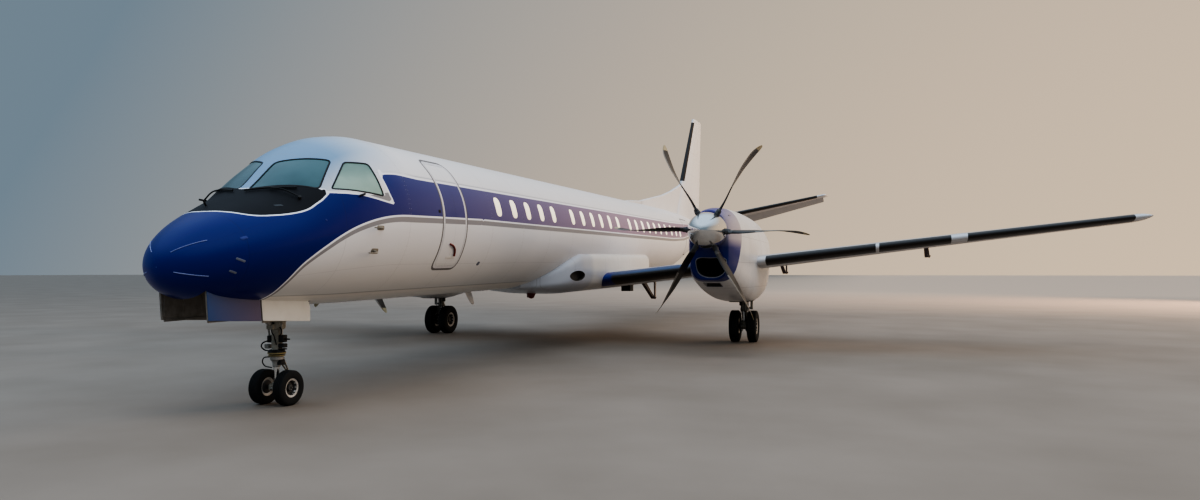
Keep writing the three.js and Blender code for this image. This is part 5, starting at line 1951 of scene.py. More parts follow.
@dataclass
class Nacelles:
    """Both nacelles with their intakes, slots, bays and jet pipes, and the belly fairing."""

    lip: float = 0.03
    intake_offset: float = 0.040
    intake_half: float = 0.300
    intake_low: float = -0.925
    intake_high: float = -0.560
    intake_depth: float = 1.150
    cooler_offset: float = -0.020
    cooler_half: float = 0.165
    cooler_low: float = -1.135
    cooler_high: float = -1.050
    cooler_depth: float = 0.70
    bay_half: float = 0.250
    bay_front: float = 10.25
    bay_rear: float = 11.30
    bay_roof: float = -1.08
    shaft_room: float = 0.100
    shaft_height: float = -0.035
    # The engine block's corners, with x from the nacelle's middle, and those of its room.
    block_low: tuple = (-0.33, 7.45, -0.374)
    block_high: tuple = (0.33, 9.65, 0.286)
    room_low: tuple = (-0.331, 7.449, -0.375)
    room_high: tuple = (0.331, 9.651, 0.287)
    # A face nearer the middle than this share of the section lies in a room and gets painted shade, if
    # it lies aft of this.
    room_share: float = 0.90
    room_front: float = 7.10
    pipe_radius: float = 0.190
    pipe_from: float = 9.5
    pipe_to: float = 12.95
    lip_bead: float = 0.011
    slot_bead: float = 0.007
    gasket: float = 0.014
    # The oval inlet in the belly fairing: x, station, height, half length and half height.
    inlet: tuple = (1.138, 7.655, -0.920, 0.350, 0.108)
    pipe_low: float = 0.040
    pipe_high: float = 0.130

    def intake_ring(self, station: float, shrink: float = 0.0) -> Points:
        """The smiling mouth of the intake at a station."""
        h, low, high = self.intake_half - shrink, self.intake_low + shrink, self.intake_high - shrink
        corners = np.array([(-h, high - 0.06), (-h + 0.08, high), (0, high - 0.012), (h - 0.08, high),
                            (h, high - 0.06), (h - 0.05, low + 0.09), (h - 0.19, low + 0.01),
                            (0, low), (-h + 0.19, low + 0.01), (-h + 0.05, low + 0.09)])
        flat = rounded(corners, 0.09, 4)
        x = NACELLE_X + self.intake_offset + flat[:, 0]
        return np.column_stack([x, np.full(len(flat), station), flat[:, 1]])

    def block(self, name: str, low: Row, high: Row) -> Piece:
        """A box between two corners about the nacelle's middle."""
        x = NACELLE_X
        return box(name, (x + low[0], *low[1:]), (x + high[0], *high[1:]))

    def pipe(self, name: str, start: float, end: float, radius: float) -> Piece:
        """A round bar along the jet pipe's line."""
        slope = (self.pipe_high - self.pipe_low) / (self.pipe_to - self.pipe_from)
        path = [(NACELLE_X, s, self.pipe_low + slope * (s - self.pipe_from)) for s in (start, end)]
        return bar(name, path, [radius, radius], Frame.BODY, 40)

    def nacelle(self) -> Piece:
        """The port nacelle with all its rooms."""
        front = NACELLE.table[0][0]
        shell = NACELLE.body("nacelle_left_skin", self.lip)
        mouth = loft("mouth", [self.intake_ring(s, d) for s, d in (
            (front - 0.05, -0.028), (front + 0.004, -0.022), (front + 0.02, -0.008),
            (front + 0.05, 0.0), (front + self.intake_depth, 0.03))])
        middle = NACELLE_X + self.cooler_offset
        slot = box("slot", (middle - self.cooler_half, front - 0.1, self.cooler_low),
                   (middle + self.cooler_half, front + self.cooler_depth, self.cooler_high))
        bay = box("bay", (MAIN_GEAR_X - self.bay_half, self.bay_front, -2.0),
                  (MAIN_GEAR_X + self.bay_half, self.bay_rear, self.bay_roof))
        height = self.shaft_height
        shaft = bar("shaft", [(NACELLE_X, front - 0.1, height), (NACELLE_X, 7.44, height)],
                    [self.shaft_room] * 2, Frame.BODY)
        groove = self.pipe("groove", self.pipe_from, 14.0, self.pipe_radius + 0.0005)
        block = self.block("block", self.room_low, self.room_high)
        wing = WING.body("wing_room")
        return carve(shell, [mouth, slot, bay, shaft, groove, block, wing])

    def dress_inside(self, piece: Piece, paint: Paint, inner: Paint) -> None:
        """Give the paint to the outside, and near-black painted shade to what faces inwards."""
        coat(piece, paint).data.materials.append(inner)
        body = to_body(corners_of(piece))
        for face in piece.data.polygons:
            p = body[list(face.vertices)].mean(0)
            width, top, bottom, widest = NACELLE.measures(p[1])
            up = p[2] - widest
            power = NACELLE.upper if up > 0 else NACELLE.lower
            reach = top - widest if up > 0 else widest - bottom
            across = (abs(p[0] - NACELLE_X) / width) ** (2 / power)
            tall = (abs(up) / reach) ** (2 / power)
            face.material_index = int(across + tall < self.room_share and p[1] > self.room_front)

    def build(self) -> None:
        """Every piece of both nacelles and the fairing."""
        paint, inner, steel = nacelle_paint(), ROOM_SHADE.make(), STEEL.make()
        port = self.nacelle()
        self.dress_inside(port, paint, inner)
        ride_pair(smooth(port, 28.0), "airframe", "white_paint", "nacelle_left")
        block = self.block("engine_left_block", self.block_low, self.block_high)
        pipe = self.pipe("pipe", self.pipe_from, self.pipe_to, self.pipe_radius)
        carve(pipe, [self.pipe("mouth", self.pipe_to - 0.7, self.pipe_to + 0.1,
                               self.pipe_radius - 0.012)])
        height = self.shaft_height
        shaft = bar("shaft", [(NACELLE_X, 7.5, height), (NACELLE_X, 6.8, height)], [0.08, 0.08],
                    Frame.BODY, 32)
        carve(block, [pipe, shaft], Cut.ADD)
        ride_pair(smooth(coat(block, steel)), "airframe", "engine_steel", "engine_left")
        rims = [coat(bead("rim", path, radius), finish.make())
                for path, radius, finish in self.beads()]
        ride_pair(smooth(joined("nacelle_rims_left", rims)), "airframe", "engine_steel")
        self.build_fairing(inner)

    def underside(self, x: float, station: float) -> float:
        """The nacelle's lower height at a place."""
        width, _, bottom, widest = NACELLE.measures(station)
        across = abs(x - NACELLE_X) / width
        return widest - (widest - bottom) * (1 - across ** (2 / NACELLE.lower)) ** (NACELLE.lower / 2)

    def beads(self) -> list[tuple]:
        """The closed paths, radii and finishes of the rims on the port nacelle."""
        front = NACELLE.table[0][0]
        mouth = self.intake_ring(front + 0.012, -0.016)
        middle = NACELLE_X + self.cooler_offset
        low, high, half = self.cooler_low, self.cooler_high, self.cooler_half
        slot = rounded(rectangle(middle - half, low, middle + half, high), 0.012, 3)
        stations = [self.chin_station(h) for h in slot[:, 1]]
        slot = np.column_stack([slot[:, 0], stations, slot[:, 1]])
        flat = rounded(rectangle(MAIN_GEAR_X - self.bay_half, self.bay_front,
                                 MAIN_GEAR_X + self.bay_half, self.bay_rear), 0.03, 3)
        along = [np.linspace(a, b, 9, endpoint=False) for a, b in zip(flat, np.roll(flat, -1, 0))
                 if np.linalg.norm(b - a) > 0.05]
        path = np.concatenate(along)
        bay = np.column_stack([path, [self.underside(*p) for p in path]])
        return [(mouth, self.lip_bead, LIP_METAL), (slot, self.slot_bead, LIP_METAL),
                (bay, self.gasket, GASKET)]

    def chin_station(self, height: float) -> float:
        """The station at which the nacelle's chin has a height under its middle."""
        rows = np.array(NACELLE.table)
        return float(np.interp(-height, -rows[:6, 3], rows[:6, 0]))

    def build_fairing(self, inner: Paint) -> None:
        """The belly fairing with an oval inlet on each side."""
        x, station, height, long, tall = self.inlet
        ring = np.array([x, station, height]) + hoop(AXIS_Y * long, AXIS_Z * tall, 40)
        port = prism("inlet", ring, (1.0, 0.0, 0.0), 0.10)
        fairing = FAIRING.body("wing_fairing_skin")
        carve(fairing, [port, mirrored(port, "inlet_right")])
        coat(fairing, fairing_paint())
        # The faces inside the inlets get the near-black painted shade.
        fairing.data.materials.append(inner)
        body = to_body(corners_of(fairing))
        for face in fairing.data.polygons:
            p = body[list(face.vertices)]
            off = np.hypot((p[:, 1] - station) / long, (p[:, 2] - height) / tall)
            deep = np.abs(p[:, 0]).min() < x - 0.09 or off.min() > 0.98
            if off.max() < 1.02 and deep:
                face.material_index = 1
        smooth(fairing, 28.0)
        ride_on(fairing, "airframe", "white_paint", "wing_fairing")


def polished_metal() -> Paint:
    """The spinner's brushed, polished metal, with rings from turning."""
    g = Graph("polished_metal")
    fine = g.noise(26.0, 3.0, (1, 6, 1))
    soft = g.noise(4.0, 2.0)
    g.set(
        Base_Color=g.mix(soft, (0.70, 0.69, 0.69), (0.86, 0.85, 0.85)),
        Metallic=1.0,
        Roughness=g.ramp(fine, 0.3, 0.7, 0.13, 0.24),
    )
    g.bump(fine, 0.0004, 0.3)
    return g.material


def blade_paint() -> Paint:
    """Dark blades with worn metal on the leading edge and a pale yellow tip."""
    g = Graph("blade_paint")
    along, front = g.value_of("along"), g.value_of("front")
    fine, wear = g.noise(60.0), g.noise(9.0, 4.0)
    black = g.mix(wear, (0.014, 0.014, 0.016), (0.045, 0.042, 0.040))
    sheath = g.times(g.sum("LESS_THAN", front, 0.16), g.sum("GREATER_THAN", along, 0.95))
    paint = g.mix(sheath, black, (0.30, 0.29, 0.27))
    paint = g.mix(g.sum("GREATER_THAN", along, 1.79), paint, (0.44, 0.38, 0.24))
    foot = g.sum("LESS_THAN", along, 0.50)
    paint = g.mix(foot, paint, (0.10, 0.10, 0.105))
    g.set(Base_Color=paint, Roughness=g.ramp(fine, 0.3, 0.7, 0.30, 0.46),
          Metallic=g.times(sheath, 0.8))
    g.bump(fine, 0.0003, 0.3)
    return g.material


@dataclass
class Propeller:
    """One propeller: a spinner and six broad swept blades."""

    station: float = 6.86
    height: float = -0.035
    phase: float = -3.5
    count: int = 6
    root: float = 0.430
    shank: float = 0.052
    foot: float = 0.170
    # radius, chord, thickness, how far forward and to the side of a straight line, turn
    sections: tuple = (
        (0.430, 0.180, 0.062, 0.000, 0.000, 20.0),
        (0.620, 0.262, 0.040, 0.012, 0.005, 16.0),
        (0.950, 0.345, 0.030, 0.036, 0.030, 9.0),
        (1.150, 0.365, 0.026, 0.035, 0.045, 4.5),
        (1.350, 0.370, 0.022, 0.027, 0.056, 0.5),
        (1.550, 0.335, 0.018, -0.014, 0.053, -4.0),
        (1.700, 0.290, 0.015, -0.060, 0.045, -8.0),
        (1.850, 0.180, 0.011, -0.131, 0.022, -10.0),
        (1.905, 0.060, 0.008, -0.163, 0.011, -11.0),
    )
    # station, radius
    profile: tuple = (
        (7.072, 0.362), (7.060, 0.362), (6.85, 0.358), (6.75, 0.344), (6.65, 0.325),
        (6.55, 0.291), (6.46, 0.245), (6.39, 0.187), (6.33, 0.120), (6.30, 0.066), (6.285, 0.0),
    )

    def blade_ring(self, row: Points, points: int = 22) -> Points:
        """The blade's section at one radius, in its own frame along x."""
        radius, chord, thick, forward, side, turn = row
        share = section_shares(points // 2)
        curve = 0.2969 * np.sqrt(share) - 0.126 * share - 0.3516 * share**2 + 0.2843 * share**3
        half = (curve - 0.1015 * share**4) / 0.0998 * 0.25
        half[-1] = 0.02
        upper = np.stack([share[::-1] - 0.5, half[::-1] * 2.0 * 0.5 * 2], 1)
        lower = np.stack([share[1:] - 0.5, -half[1:] * 0.72 * 2], 1)
        flat = np.concatenate([upper, lower])
        along, across = flat[:, 0] * chord, flat[:, 1] * thick
        c, s = math.cos(math.radians(turn)), math.sin(math.radians(turn))
        return np.stack([np.full(len(flat), radius), along * c - across * s - forward,
                         along * s + across * c + side], 1)

    def blade(self, angle: float, name: str) -> Piece:
        """A blade stood round the hub at an angle."""
        rows = np.array(self.sections).T
        radii = np.linspace(rows[0][0], rows[0][-1] - 0.001, 44)
        smooth_rows = np.stack([radii, *(monotone(rows[0], c, radii) for c in rows[1:])], 1)
        flat = [self.blade_ring(row) for row in smooth_rows]
        rings = [self.stand(r, angle) for r in flat]
        blade = loft(name, rings)
        places = to_row(np.concatenate(rings))
        share = [(r[:, 1] - r[:, 1].min()) / max(np.ptp(r[:, 1]), 1e-6) for r in flat]
        mark_by_place(blade, "along", places, np.concatenate([r[:, 0] for r in flat]))
        mark_by_place(blade, "front", places, np.concatenate(share))
        shank = self.shank_bar(angle)
        mark(shank, "along", np.full(len(shank.data.vertices), 0.3))
        mark(shank, "front", np.ones(len(shank.data.vertices)))
        return joined(name, [blade, shank])

    def shank_bar(self, angle: float) -> Piece:
        """The round root of a blade with its collar."""
        rows = ((self.foot, self.shank), (0.372, self.shank), (0.376, 0.060), (0.392, 0.060),
                (0.398, self.shank), (self.root + 0.03, 0.046))
        rings = [x * AXIS_X + r * hoop(AXIS_Y, AXIS_Z, 28) for x, r in rows]
        return loft("shank", [self.stand(ring, angle) for ring in rings])

    def stand(self, points: Points, angle: float) -> Points:
        """Turn points of a blade along x round the hub, into airframe points."""
        c, s = math.cos(angle), math.sin(angle)
        x = points[..., 0] * c - points[..., 2] * s
        z = points[..., 0] * s + points[..., 2] * c
        return np.stack([x + NACELLE_X, points[..., 1] + self.station, z + self.height], -1)

    def build(self, side: Side) -> None:
        """One whole propeller."""
        metal = bpy.data.materials.get("polished_metal") or polished_metal()
        paint = bpy.data.materials.get("blade_paint") or blade_paint()
        shift = (side.value - 1) * NACELLE_X
        hub = turned(f"spinner_{side.word}_skin", self.profile, (NACELLE_X + shift, 0.0, self.height),
                     1, Frame.BODY, 72)
        angles = [math.radians(self.phase + 360 / self.count * i) for i in range(self.count)]
        carve(hub, [shift_object(self.socket(angle), shift) for angle in angles])
        body = f"propeller_{side.word}"
        ride_on(smooth(coat(hub, metal), 28.0), body, "polished_metal", f"spinner_{side.word}")
        for i, angle in enumerate(angles):
            blade = shift_object(self.blade(angle, f"blade_{side.word}_{i + 1}_skin"), shift)
            smooth(coat(blade, paint), 40.0)
            ride_on(blade, body, "blade_black", f"blade_{side.word}_{i + 1}")

    def socket(self, angle: float) -> Piece:
        """The oval hole in the spinner round a blade's root."""
        hole = hoop(0.072 * AXIS_Y, 0.066 * AXIS_Z, 32)
        return loft("socket", [self.stand(x * AXIS_X + hole, angle) for x in (0.24, 0.50)])


def shift_object(piece: Piece, x: float) -> Piece:
    """Move a piece's points along x."""
    co = corners_of(piece)
    co[:, 0] += x
    piece.data.vertices.foreach_set("co", co.ravel().astype(np.float32))
    piece.data.update()
    return piece


def mark_by_place(piece: Piece, name: str, points: Points, values: Points) -> None:
    """Store numbers that belong to places, after a mesh has merged some of its points."""
    tree = kdtree.KDTree(len(points))
    for i, p in enumerate(points):
        tree.insert(p, i)
    tree.balance()
    mark(piece, name, np.array([values[tree.find(p)[1]] for p in corners_of(piece)]))


# Landing gear.


def rod(finish: Finish, radius: float, path: Rows, sides: int = 16) -> Piece:
    """A bar with softened ends through places of the gear."""
    p = np.asarray(path, float)
    reach = 0.3 * radius
    first = p[0] + (p[1] - p[0]) / np.linalg.norm(p[1] - p[0]) * reach
    last = p[-1] + (p[-2] - p[-1]) / np.linalg.norm(p[-2] - p[-1]) * reach
    path = [p[0], first, *p[1:-1], last, p[-1]]
    radii = [radius * 0.75, *[radius] * (len(path) - 2), radius * 0.75]
    return coat(bar("rod", path, radii, Frame.GROUND, sides), finish.make())


def post(finish: Finish, place: Row, rows: Rows, sides: int = 40) -> Piece:
    """A round piece on end at x and a distance aft, from rows of height and radius."""
    path = [(place[0], place[1], h) for h, _ in rows]
    return coat(bar("post", path, [r for _, r in rows], Frame.GROUND, sides), finish.make())


def block(finish: Finish, low: Row, high: Row, edge: float = 0.006) -> Piece:
    """A box of the gear with softened edges."""
    (x0, y0, z0), (x1, y1, z1) = low, high
    rings = []
    for z, inset in ((z0, edge), (z0 + edge, 0.0), (z1 - edge, 0.0), (z1, edge)):
        corners = rectangle(x0 + inset, y0 + inset, x1 - inset, y1 - inset)
        flat = rounded(corners, edge * 2, 3)
        rings.append(np.column_stack([flat, np.full(len(flat), z)]))
    return coat(loft("block", rings, Frame.GROUND), finish.make())


def turned_ring(name: str, profile: Rows, centre: Points, sides: int = 96) -> Piece:
    """Turn a closed profile about a line along x, as for a tyre or a sleeve."""
    flat = hoop(AXIS_Y, AXIS_Z, sides, 0.5)
    rings = [centre + a * AXIS_X + r * flat for a, r in [*profile, profile[0]]]
    return loft(name, rings, Frame.GROUND, closed=False)


@dataclass(frozen=True)
class WheelPair:
    """Two wheels with their tyres on one axle."""

    word: str
    x: float
    aft: float
    height: float
    tyre_width: float
    out: float
    rim: float
    axle: float
    lug: float
    sleeve: float
    groove: float
    holes: int
    bolt: float

    @property
    def centre(self) -> Points:
        """The axle's middle."""
        return np.array([self.x, self.aft, self.height])

    @property
    def half(self) -> float:
        """Half the width of a rim."""
        return self.tyre_width * 0.34

    def tyre(self, sign: int, name: str) -> Piece:
        """A tyre with grooves round its tread."""
        w, seat, top = self.tyre_width / 2, self.rim + 0.0005, self.height - 0.0004
        d = top - seat
        wall = ((0.75, 0.0), (0.86, 0.03), (0.95, 0.16), (0.99, 0.32), (1.0, 0.47), (0.985, 0.62),
                (0.945, 0.77), (0.89, 0.88), (0.81, 0.95), (0.72, 0.985))
        right = [(w * a, seat + d * b) for a, b in wall]
        tread = []
        for middle in (0.5, 0.17, -0.17, -0.5):
            for off, deep in ((0.05, 0.0), (0.036, 1.0), (-0.036, 1.0), (-0.05, 0.0)):
                at = middle + off
                tread.append((w * at, top - d * 0.02 * at**2 - deep * self.groove))
        rows = [*right, *tread, *[(-a, r) for a, r in right[::-1]]]
        made = turned_ring(name, rows, self.centre + np.array([sign * self.out, 0, 0]))
        return smooth(coat(made, TYRE.make()), 35.0)

    def rim_of(self, sign: int) -> Piece:
        """A rim with its flanges, its dished and pierced middle and its hub."""
        shares = (
            (-1.05, 0.0), (-1.05, 0.60), (-0.84, 0.73), (-1.09, 0.905), (-1.18, 1.086),
            (-1.05, 1.10), (-0.945, 1.0), (0.945, 1.0), (1.05, 1.10), (1.145, 1.095),
            (1.18, 1.034), (1.09, 0.90), (1.0, 0.80), (0.53, 0.72), (0.21, 0.62), (0.21, 0.40),
            (0.66, 0.34), (0.76, 0.29), (0.76, 0.14), (0.60, 0.11), (0.60, 0.0),
        )
        rows = [(sign * self.half * a, self.rim * r) for a, r in shares]
        middle = self.centre + np.array([sign * self.out, 0, 0])
        rim = turned("rim", rows, middle, 0, Frame.GROUND, 72)
        tools = []
        for k in range(self.holes):
            turn = TAU * (k + 0.5) / self.holes
            spot = middle + self.rim * 0.655 * np.array([0, math.cos(turn), math.sin(turn)])
            reach = np.array([sign * self.half * 0.9, 0, 0])
            tools.append(bar("hole", [spot - reach * 0.2, spot + reach], [self.rim * 0.075] * 2,
                             Frame.GROUND, 14))
        carve(rim, tools)
        coat(rim, RIM.make())
        rim.data.materials.append(HUB_DARK.make())
        flat = corners_of(rim) - to_row(middle, Frame.GROUND)
        far = np.hypot(flat[:, 1], flat[:, 2])
        for face in rim.data.polygons:
            face.material_index = int(far[list(face.vertices)].mean() < self.rim * 0.76)
        return rim

    def bolts(self, name: str) -> Piece:
        """Bolts round both hubs, inside and outside."""
        spots, ways = [], []
        for sign in (-1, 1):
            for share, along, count in ((0.50, 0.21, 10), (0.22, 0.76, 6), (0.90, 1.09, 18)):
                for k in range(count):
                    turn = TAU * k / count
                    off = self.rim * share * np.array([0, math.cos(turn), math.sin(turn)])
                    off[0] = sign * (self.out + self.half * along)
                    spots.append(self.centre + off)
                    ways.append((sign, 0.0, 0.0))
        row = points_object("bolt_spots", to_row(np.array(spots), Frame.GROUND), np.array(ways))
        return repeated(name, row, None, LEG_PALE.make(), self.bolt)

    def build(self, suffix: str, tyres: dict) -> None:
        """Both wheels and both tyres.

        Args:
            suffix: What follows "main" or "nose" in the names of its body and wheels.
            tyres: The tyre's node for the side away from the middle and for the other.
        """
        body = f"{self.word}_wheel_pair{suffix}"
        reach = np.array([self.out - self.half * 0.5, 0, 0])
        axle = rod(HUB_DARK, self.axle, [self.centre - reach, self.centre + reach], 32)
        whole = joined(f"{self.word}_rims{suffix}", [axle, self.rim_of(-1), self.rim_of(1)])
        ride_on(smooth(whole), body, "gear_paint", f"{self.word}_wheels{suffix}")
        ride_on(self.bolts(f"{self.word}_bolts{suffix}"), body, "gear_paint")
        for sign, node in tyres.items():
            ride_on(self.tyre(sign, f"{node}_tread"), body, "tyre_rubber", node)

    def sleeve_ring(self) -> Piece:
        """The sleeve that the axle turns in."""
        lug, big, bore = self.lug, self.sleeve, self.axle + 0.0015
        rows = [(-lug, bore), (-lug, big * 0.86), (-lug * 0.93, big * 0.93), (-lug * 0.6, big * 0.93),
                (-lug * 0.5, big), (lug * 0.5, big), (lug * 0.6, big * 0.93),
                (lug * 0.93, big * 0.93), (lug, big * 0.86), (lug, bore)]
        return coat(turned_ring("sleeve", rows, self.centre, 48), LEG.make())


NOSE_PAIR = WheelPair("nose", 0.0, 0.0, 0.218118, 0.14, 0.185, 0.116, 0.028, 0.084, 0.052,
                      0.004, 8, 0.0045)
MAIN_PAIR = WheelPair("main", MAIN_GEAR_X, 10.97, 0.371792, 0.22, 0.21, 0.188, 0.042, 0.092,
                      0.076, 0.007, 9, 0.0075)


@dataclass
class Leg:
    """A piece of a gear leg from tables of posts, blocks, rods and hoses."""

    # finish, x, distance aft, then rows of height and radius
    posts: tuple = ()
    # finish, low corner, high corner
    blocks: tuple = ()
    # finish, radius, then places
    rods: tuple = ()
    hoses: tuple = ()

    def pieces(self, x: float = 0.0, aft: float = 0.0) -> list[Piece]:
        """Everything in the tables, moved to a place."""
        move = np.array([x, aft, 0.0])
        made = [post(f, (x + px, aft + pa), rows) for f, px, pa, rows in self.posts]
        made += [block(f, np.array(a) + move, np.array(b) + move) for f, a, b in self.blocks]
        made += [rod(f, r, np.array(path) + move) for f, r, *path in self.rods]
        made += [rod(f, r, curve(path) + move, 10) for f, r, *path in self.hoses]
        return made


def torque_links(top: Row, apex: Row, foot: Row, wide: float,
                 radius: float) -> tuple:
    """Rows for two forked links that meet at an apex behind a leg.

    Args:
        top: Distance aft and height of the upper pivot.
        apex: Of the joint between the links.
        foot: Of the lower pivot.
        wide: Half the width of the forks.
        radius: The bars' radius.

    Returns:
        Rows of finish, radius and places.
    """
    rows = [(DARK_PART, radius * 1.4, (-wide * 0.5, *apex), (wide * 0.5, *apex))]
    for pivot in (top, foot):
        rows.append((DARK_PART, radius * 1.5, (-wide * 1.15, *pivot), (wide * 1.15, *pivot)))
        middle = [(p + a) / 2 for p, a in zip(pivot, apex)]
        rows.append((LEG, radius * 0.7, (-wide * 0.6, *middle), (wide * 0.6, *middle)))
        for sign in (-1, 1):
            rows.append((LEG, radius, (sign * wide, *pivot), (sign * wide * 0.3, *apex)))
    return tuple(rows)


NOSE_UPPER = Leg(
    posts=(
        (LEG, 0, 0, ((1.655, 0.04), (1.65, 0.085), (1.62, 0.102), (1.1, 0.102), (1.09, 0.112),
                     (1.04, 0.112), (1.03, 0.102), (0.965, 0.102), (0.95, 0.094), (0.935, 0.068),
                     (0.80, 0.062), (0.79, 0.068), (0.77, 0.068), (0.76, 0.062), (0.70, 0.062),
                     (0.69, 0.072), (0.66, 0.074))),
        (DARK_PART, 0, 0, ((0.690, 0.074), (0.684, 0.094), (0.664, 0.102), (0.658, 0.106),
                           (0.655, 0.106))),
        (BRASS, 0, 0, ((0.656, 0.100), (0.654, 0.110), (0.638, 0.110), (0.634, 0.102))),
        (LEG_PALE, 0.092, -0.03, ((1.02, 0.010), (1.015, 0.016), (0.90, 0.016), (0.895, 0.011),
                                  (0.87, 0.011))),
    ),
    blocks=(
        (DARK_PART, (-0.118, -0.045, 0.775), (-0.060, 0.045, 0.862)),
        (DARK_PART, (0.055, -0.040, 0.782), (0.128, 0.040, 0.872)),
        (DARK_PART, (0.055, -0.045, 0.716), (0.138, 0.035, 0.765)),
        (DARK_PART, (0.045, -0.040, 0.690), (0.132, 0.040, 0.704)),
        (LEG_PALE, (-0.150, -0.055, 0.700), (-0.085, 0.010, 0.752)),
        (LEG, (-0.050, -0.135, 0.945), (0.050, -0.060, 1.015)),
        (LEG_PALE, (-0.060, -0.590, 1.300), (0.060, -0.530, 1.375)),
    ),
    rods=(
        (LEG_PALE, 0.045, (-0.337, 0, 1.64), (0.337, 0, 1.64)),
        (LEG_PALE, 0.030, (0, -0.09, 0.985), (0, -0.56, 1.335)),
        (LEG_PALE, 0.024, (-0.045, -0.56, 1.34), (-0.045, -1.0, 1.66)),
        (LEG_PALE, 0.024, (0.045, -0.56, 1.34), (0.045, -1.0, 1.66)),
        (LEG_PALE, 0.030, (-0.337, -1.0, 1.66), (0.337, -1.0, 1.66)),
        (DARK_PART, 0.009, (0.120, 0, 0.822), (0.205, -0.01, 0.822)),
        (LEG_PALE, 0.012, (-0.140, -0.02, 1.06), (-0.088, -0.03, 0.86)),
    ),
    hoses=(
        (HOSE, 0.008, (-0.09, -0.05, 0.80), (-0.155, -0.07, 0.772), (-0.178, -0.07, 0.725),
         (-0.140, -0.06, 0.684), (-0.08, -0.05, 0.672)),
        (HOSE, 0.008, (0.085, -0.05, 0.97), (0.128, -0.07, 0.94), (0.125, -0.07, 0.89),
         (0.09, -0.045, 0.868)),
        (HOSE, 0.007, (0.04, -0.105, 1.03), (0.02, -0.118, 0.93), (0.03, -0.085, 0.86),
         (0.045, -0.06, 0.75)),
    ),
)
NOSE_LOWER = Leg(
    posts=(
        (BRASS, 0, 0, ((0.624, 0.086), (0.622, 0.103), (0.612, 0.103), (0.608, 0.094))),
        (LEG_PALE, 0, 0, ((0.609, 0.074), (0.603, 0.084), (0.565, 0.080), (0.552, 0.066),
                          (0.53, 0.052), (0.478, 0.048), (0.47, 0.040))),
        (CHROME, 0, 0, ((0.48, 0.034), (0.27, 0.034))),
        (LEG, 0, 0, ((0.285, 0.036), (0.275, 0.046), (0.20, 0.050))),
    ),
    blocks=(
        (DARK_PART, (0.030, -0.035, 0.500), (0.088, 0.055, 0.562)),
        (LEG, (-0.034, -0.100, 0.182), (-0.016, -0.030, 0.248)),
        (LEG, (0.016, -0.100, 0.182), (0.034, -0.030, 0.248)),
        (LEG, (-0.030, 0.020, 0.548), (0.030, 0.080, 0.598)),
    ),
    rods=(
        (CHROME, 0.010, (-0.036, -0.082, 0.215), (0.036, -0.082, 0.215)),
        *torque_links((0.068, 0.572), (0.190, 0.405), (0.052, 0.243), 0.045, 0.010),
    ),
    hoses=(
        (HOSE, 0.007, (-0.070, -0.03, 0.596), (-0.150, -0.05, 0.585), (-0.176, -0.05, 0.53),
         (-0.140, -0.04, 0.478), (-0.045, -0.03, 0.462)),
    ),
)
MAIN_LEG = Leg(
    posts=(
        (LEG, 0, 0, ((1.38, 0.04), (1.378, 0.078), (1.12, 0.078), (1.11, 0.088), (1.08, 0.088),
                     (1.07, 0.078), (0.81, 0.078), (0.80, 0.088), (0.745, 0.088), (0.735, 0.076),
                     (0.72, 0.058))),
        (CHROME, 0, 0, ((0.73, 0.050), (0.46, 0.050))),
        (LEG, 0, 0, ((0.50, 0.052), (0.485, 0.066), (0.37, 0.070), (0.33, 0.060), (0.30, 0.04))),
    ),
    blocks=(
        (LEG, (0.03, -0.055, 0.560), (0.150, 0.045, 0.705)),
        (DARK_PART, (-0.105, -0.060, 0.860), (-0.060, 0.040, 0.980)),
        (LEG_PALE, (0.080, -0.095, 0.960), (0.140, -0.045, 1.060)),
    ),
    rods=(
        (LEG_PALE, 0.055, (-0.2497, 0, 1.38), (0.2497, 0, 1.38)),
        (LEG_PALE, 0.032, (0, -0.05, 0.905), (0, -0.56, 1.35)),
        (LEG, 0.030, (0.18, 0, 1.38), (0.18, 0, 0.77)),
        (LEG_PALE, 0.024, (0.18, 0, 0.80), (0, 0, 0.80)),
        (LEG_PALE, 0.013, (0.105, -0.06, 1.28), (0.105, -0.06, 0.72)),
        *torque_links((0.075, 0.76), (0.210, 0.600), (0.055, 0.420), 0.055, 0.012),
    ),
    hoses=(
        (HOSE, 0.009, (0.04, -0.085, 0.98), (0.02, -0.115, 0.82), (0.045, -0.105, 0.62),
         (0.085, -0.085, 0.46)),
        (HOSE, 0.009, (-0.03, -0.085, 0.98), (-0.045, -0.125, 0.80), (-0.060, -0.110, 0.60),
         (-0.085, -0.085, 0.46)),
    ),
)


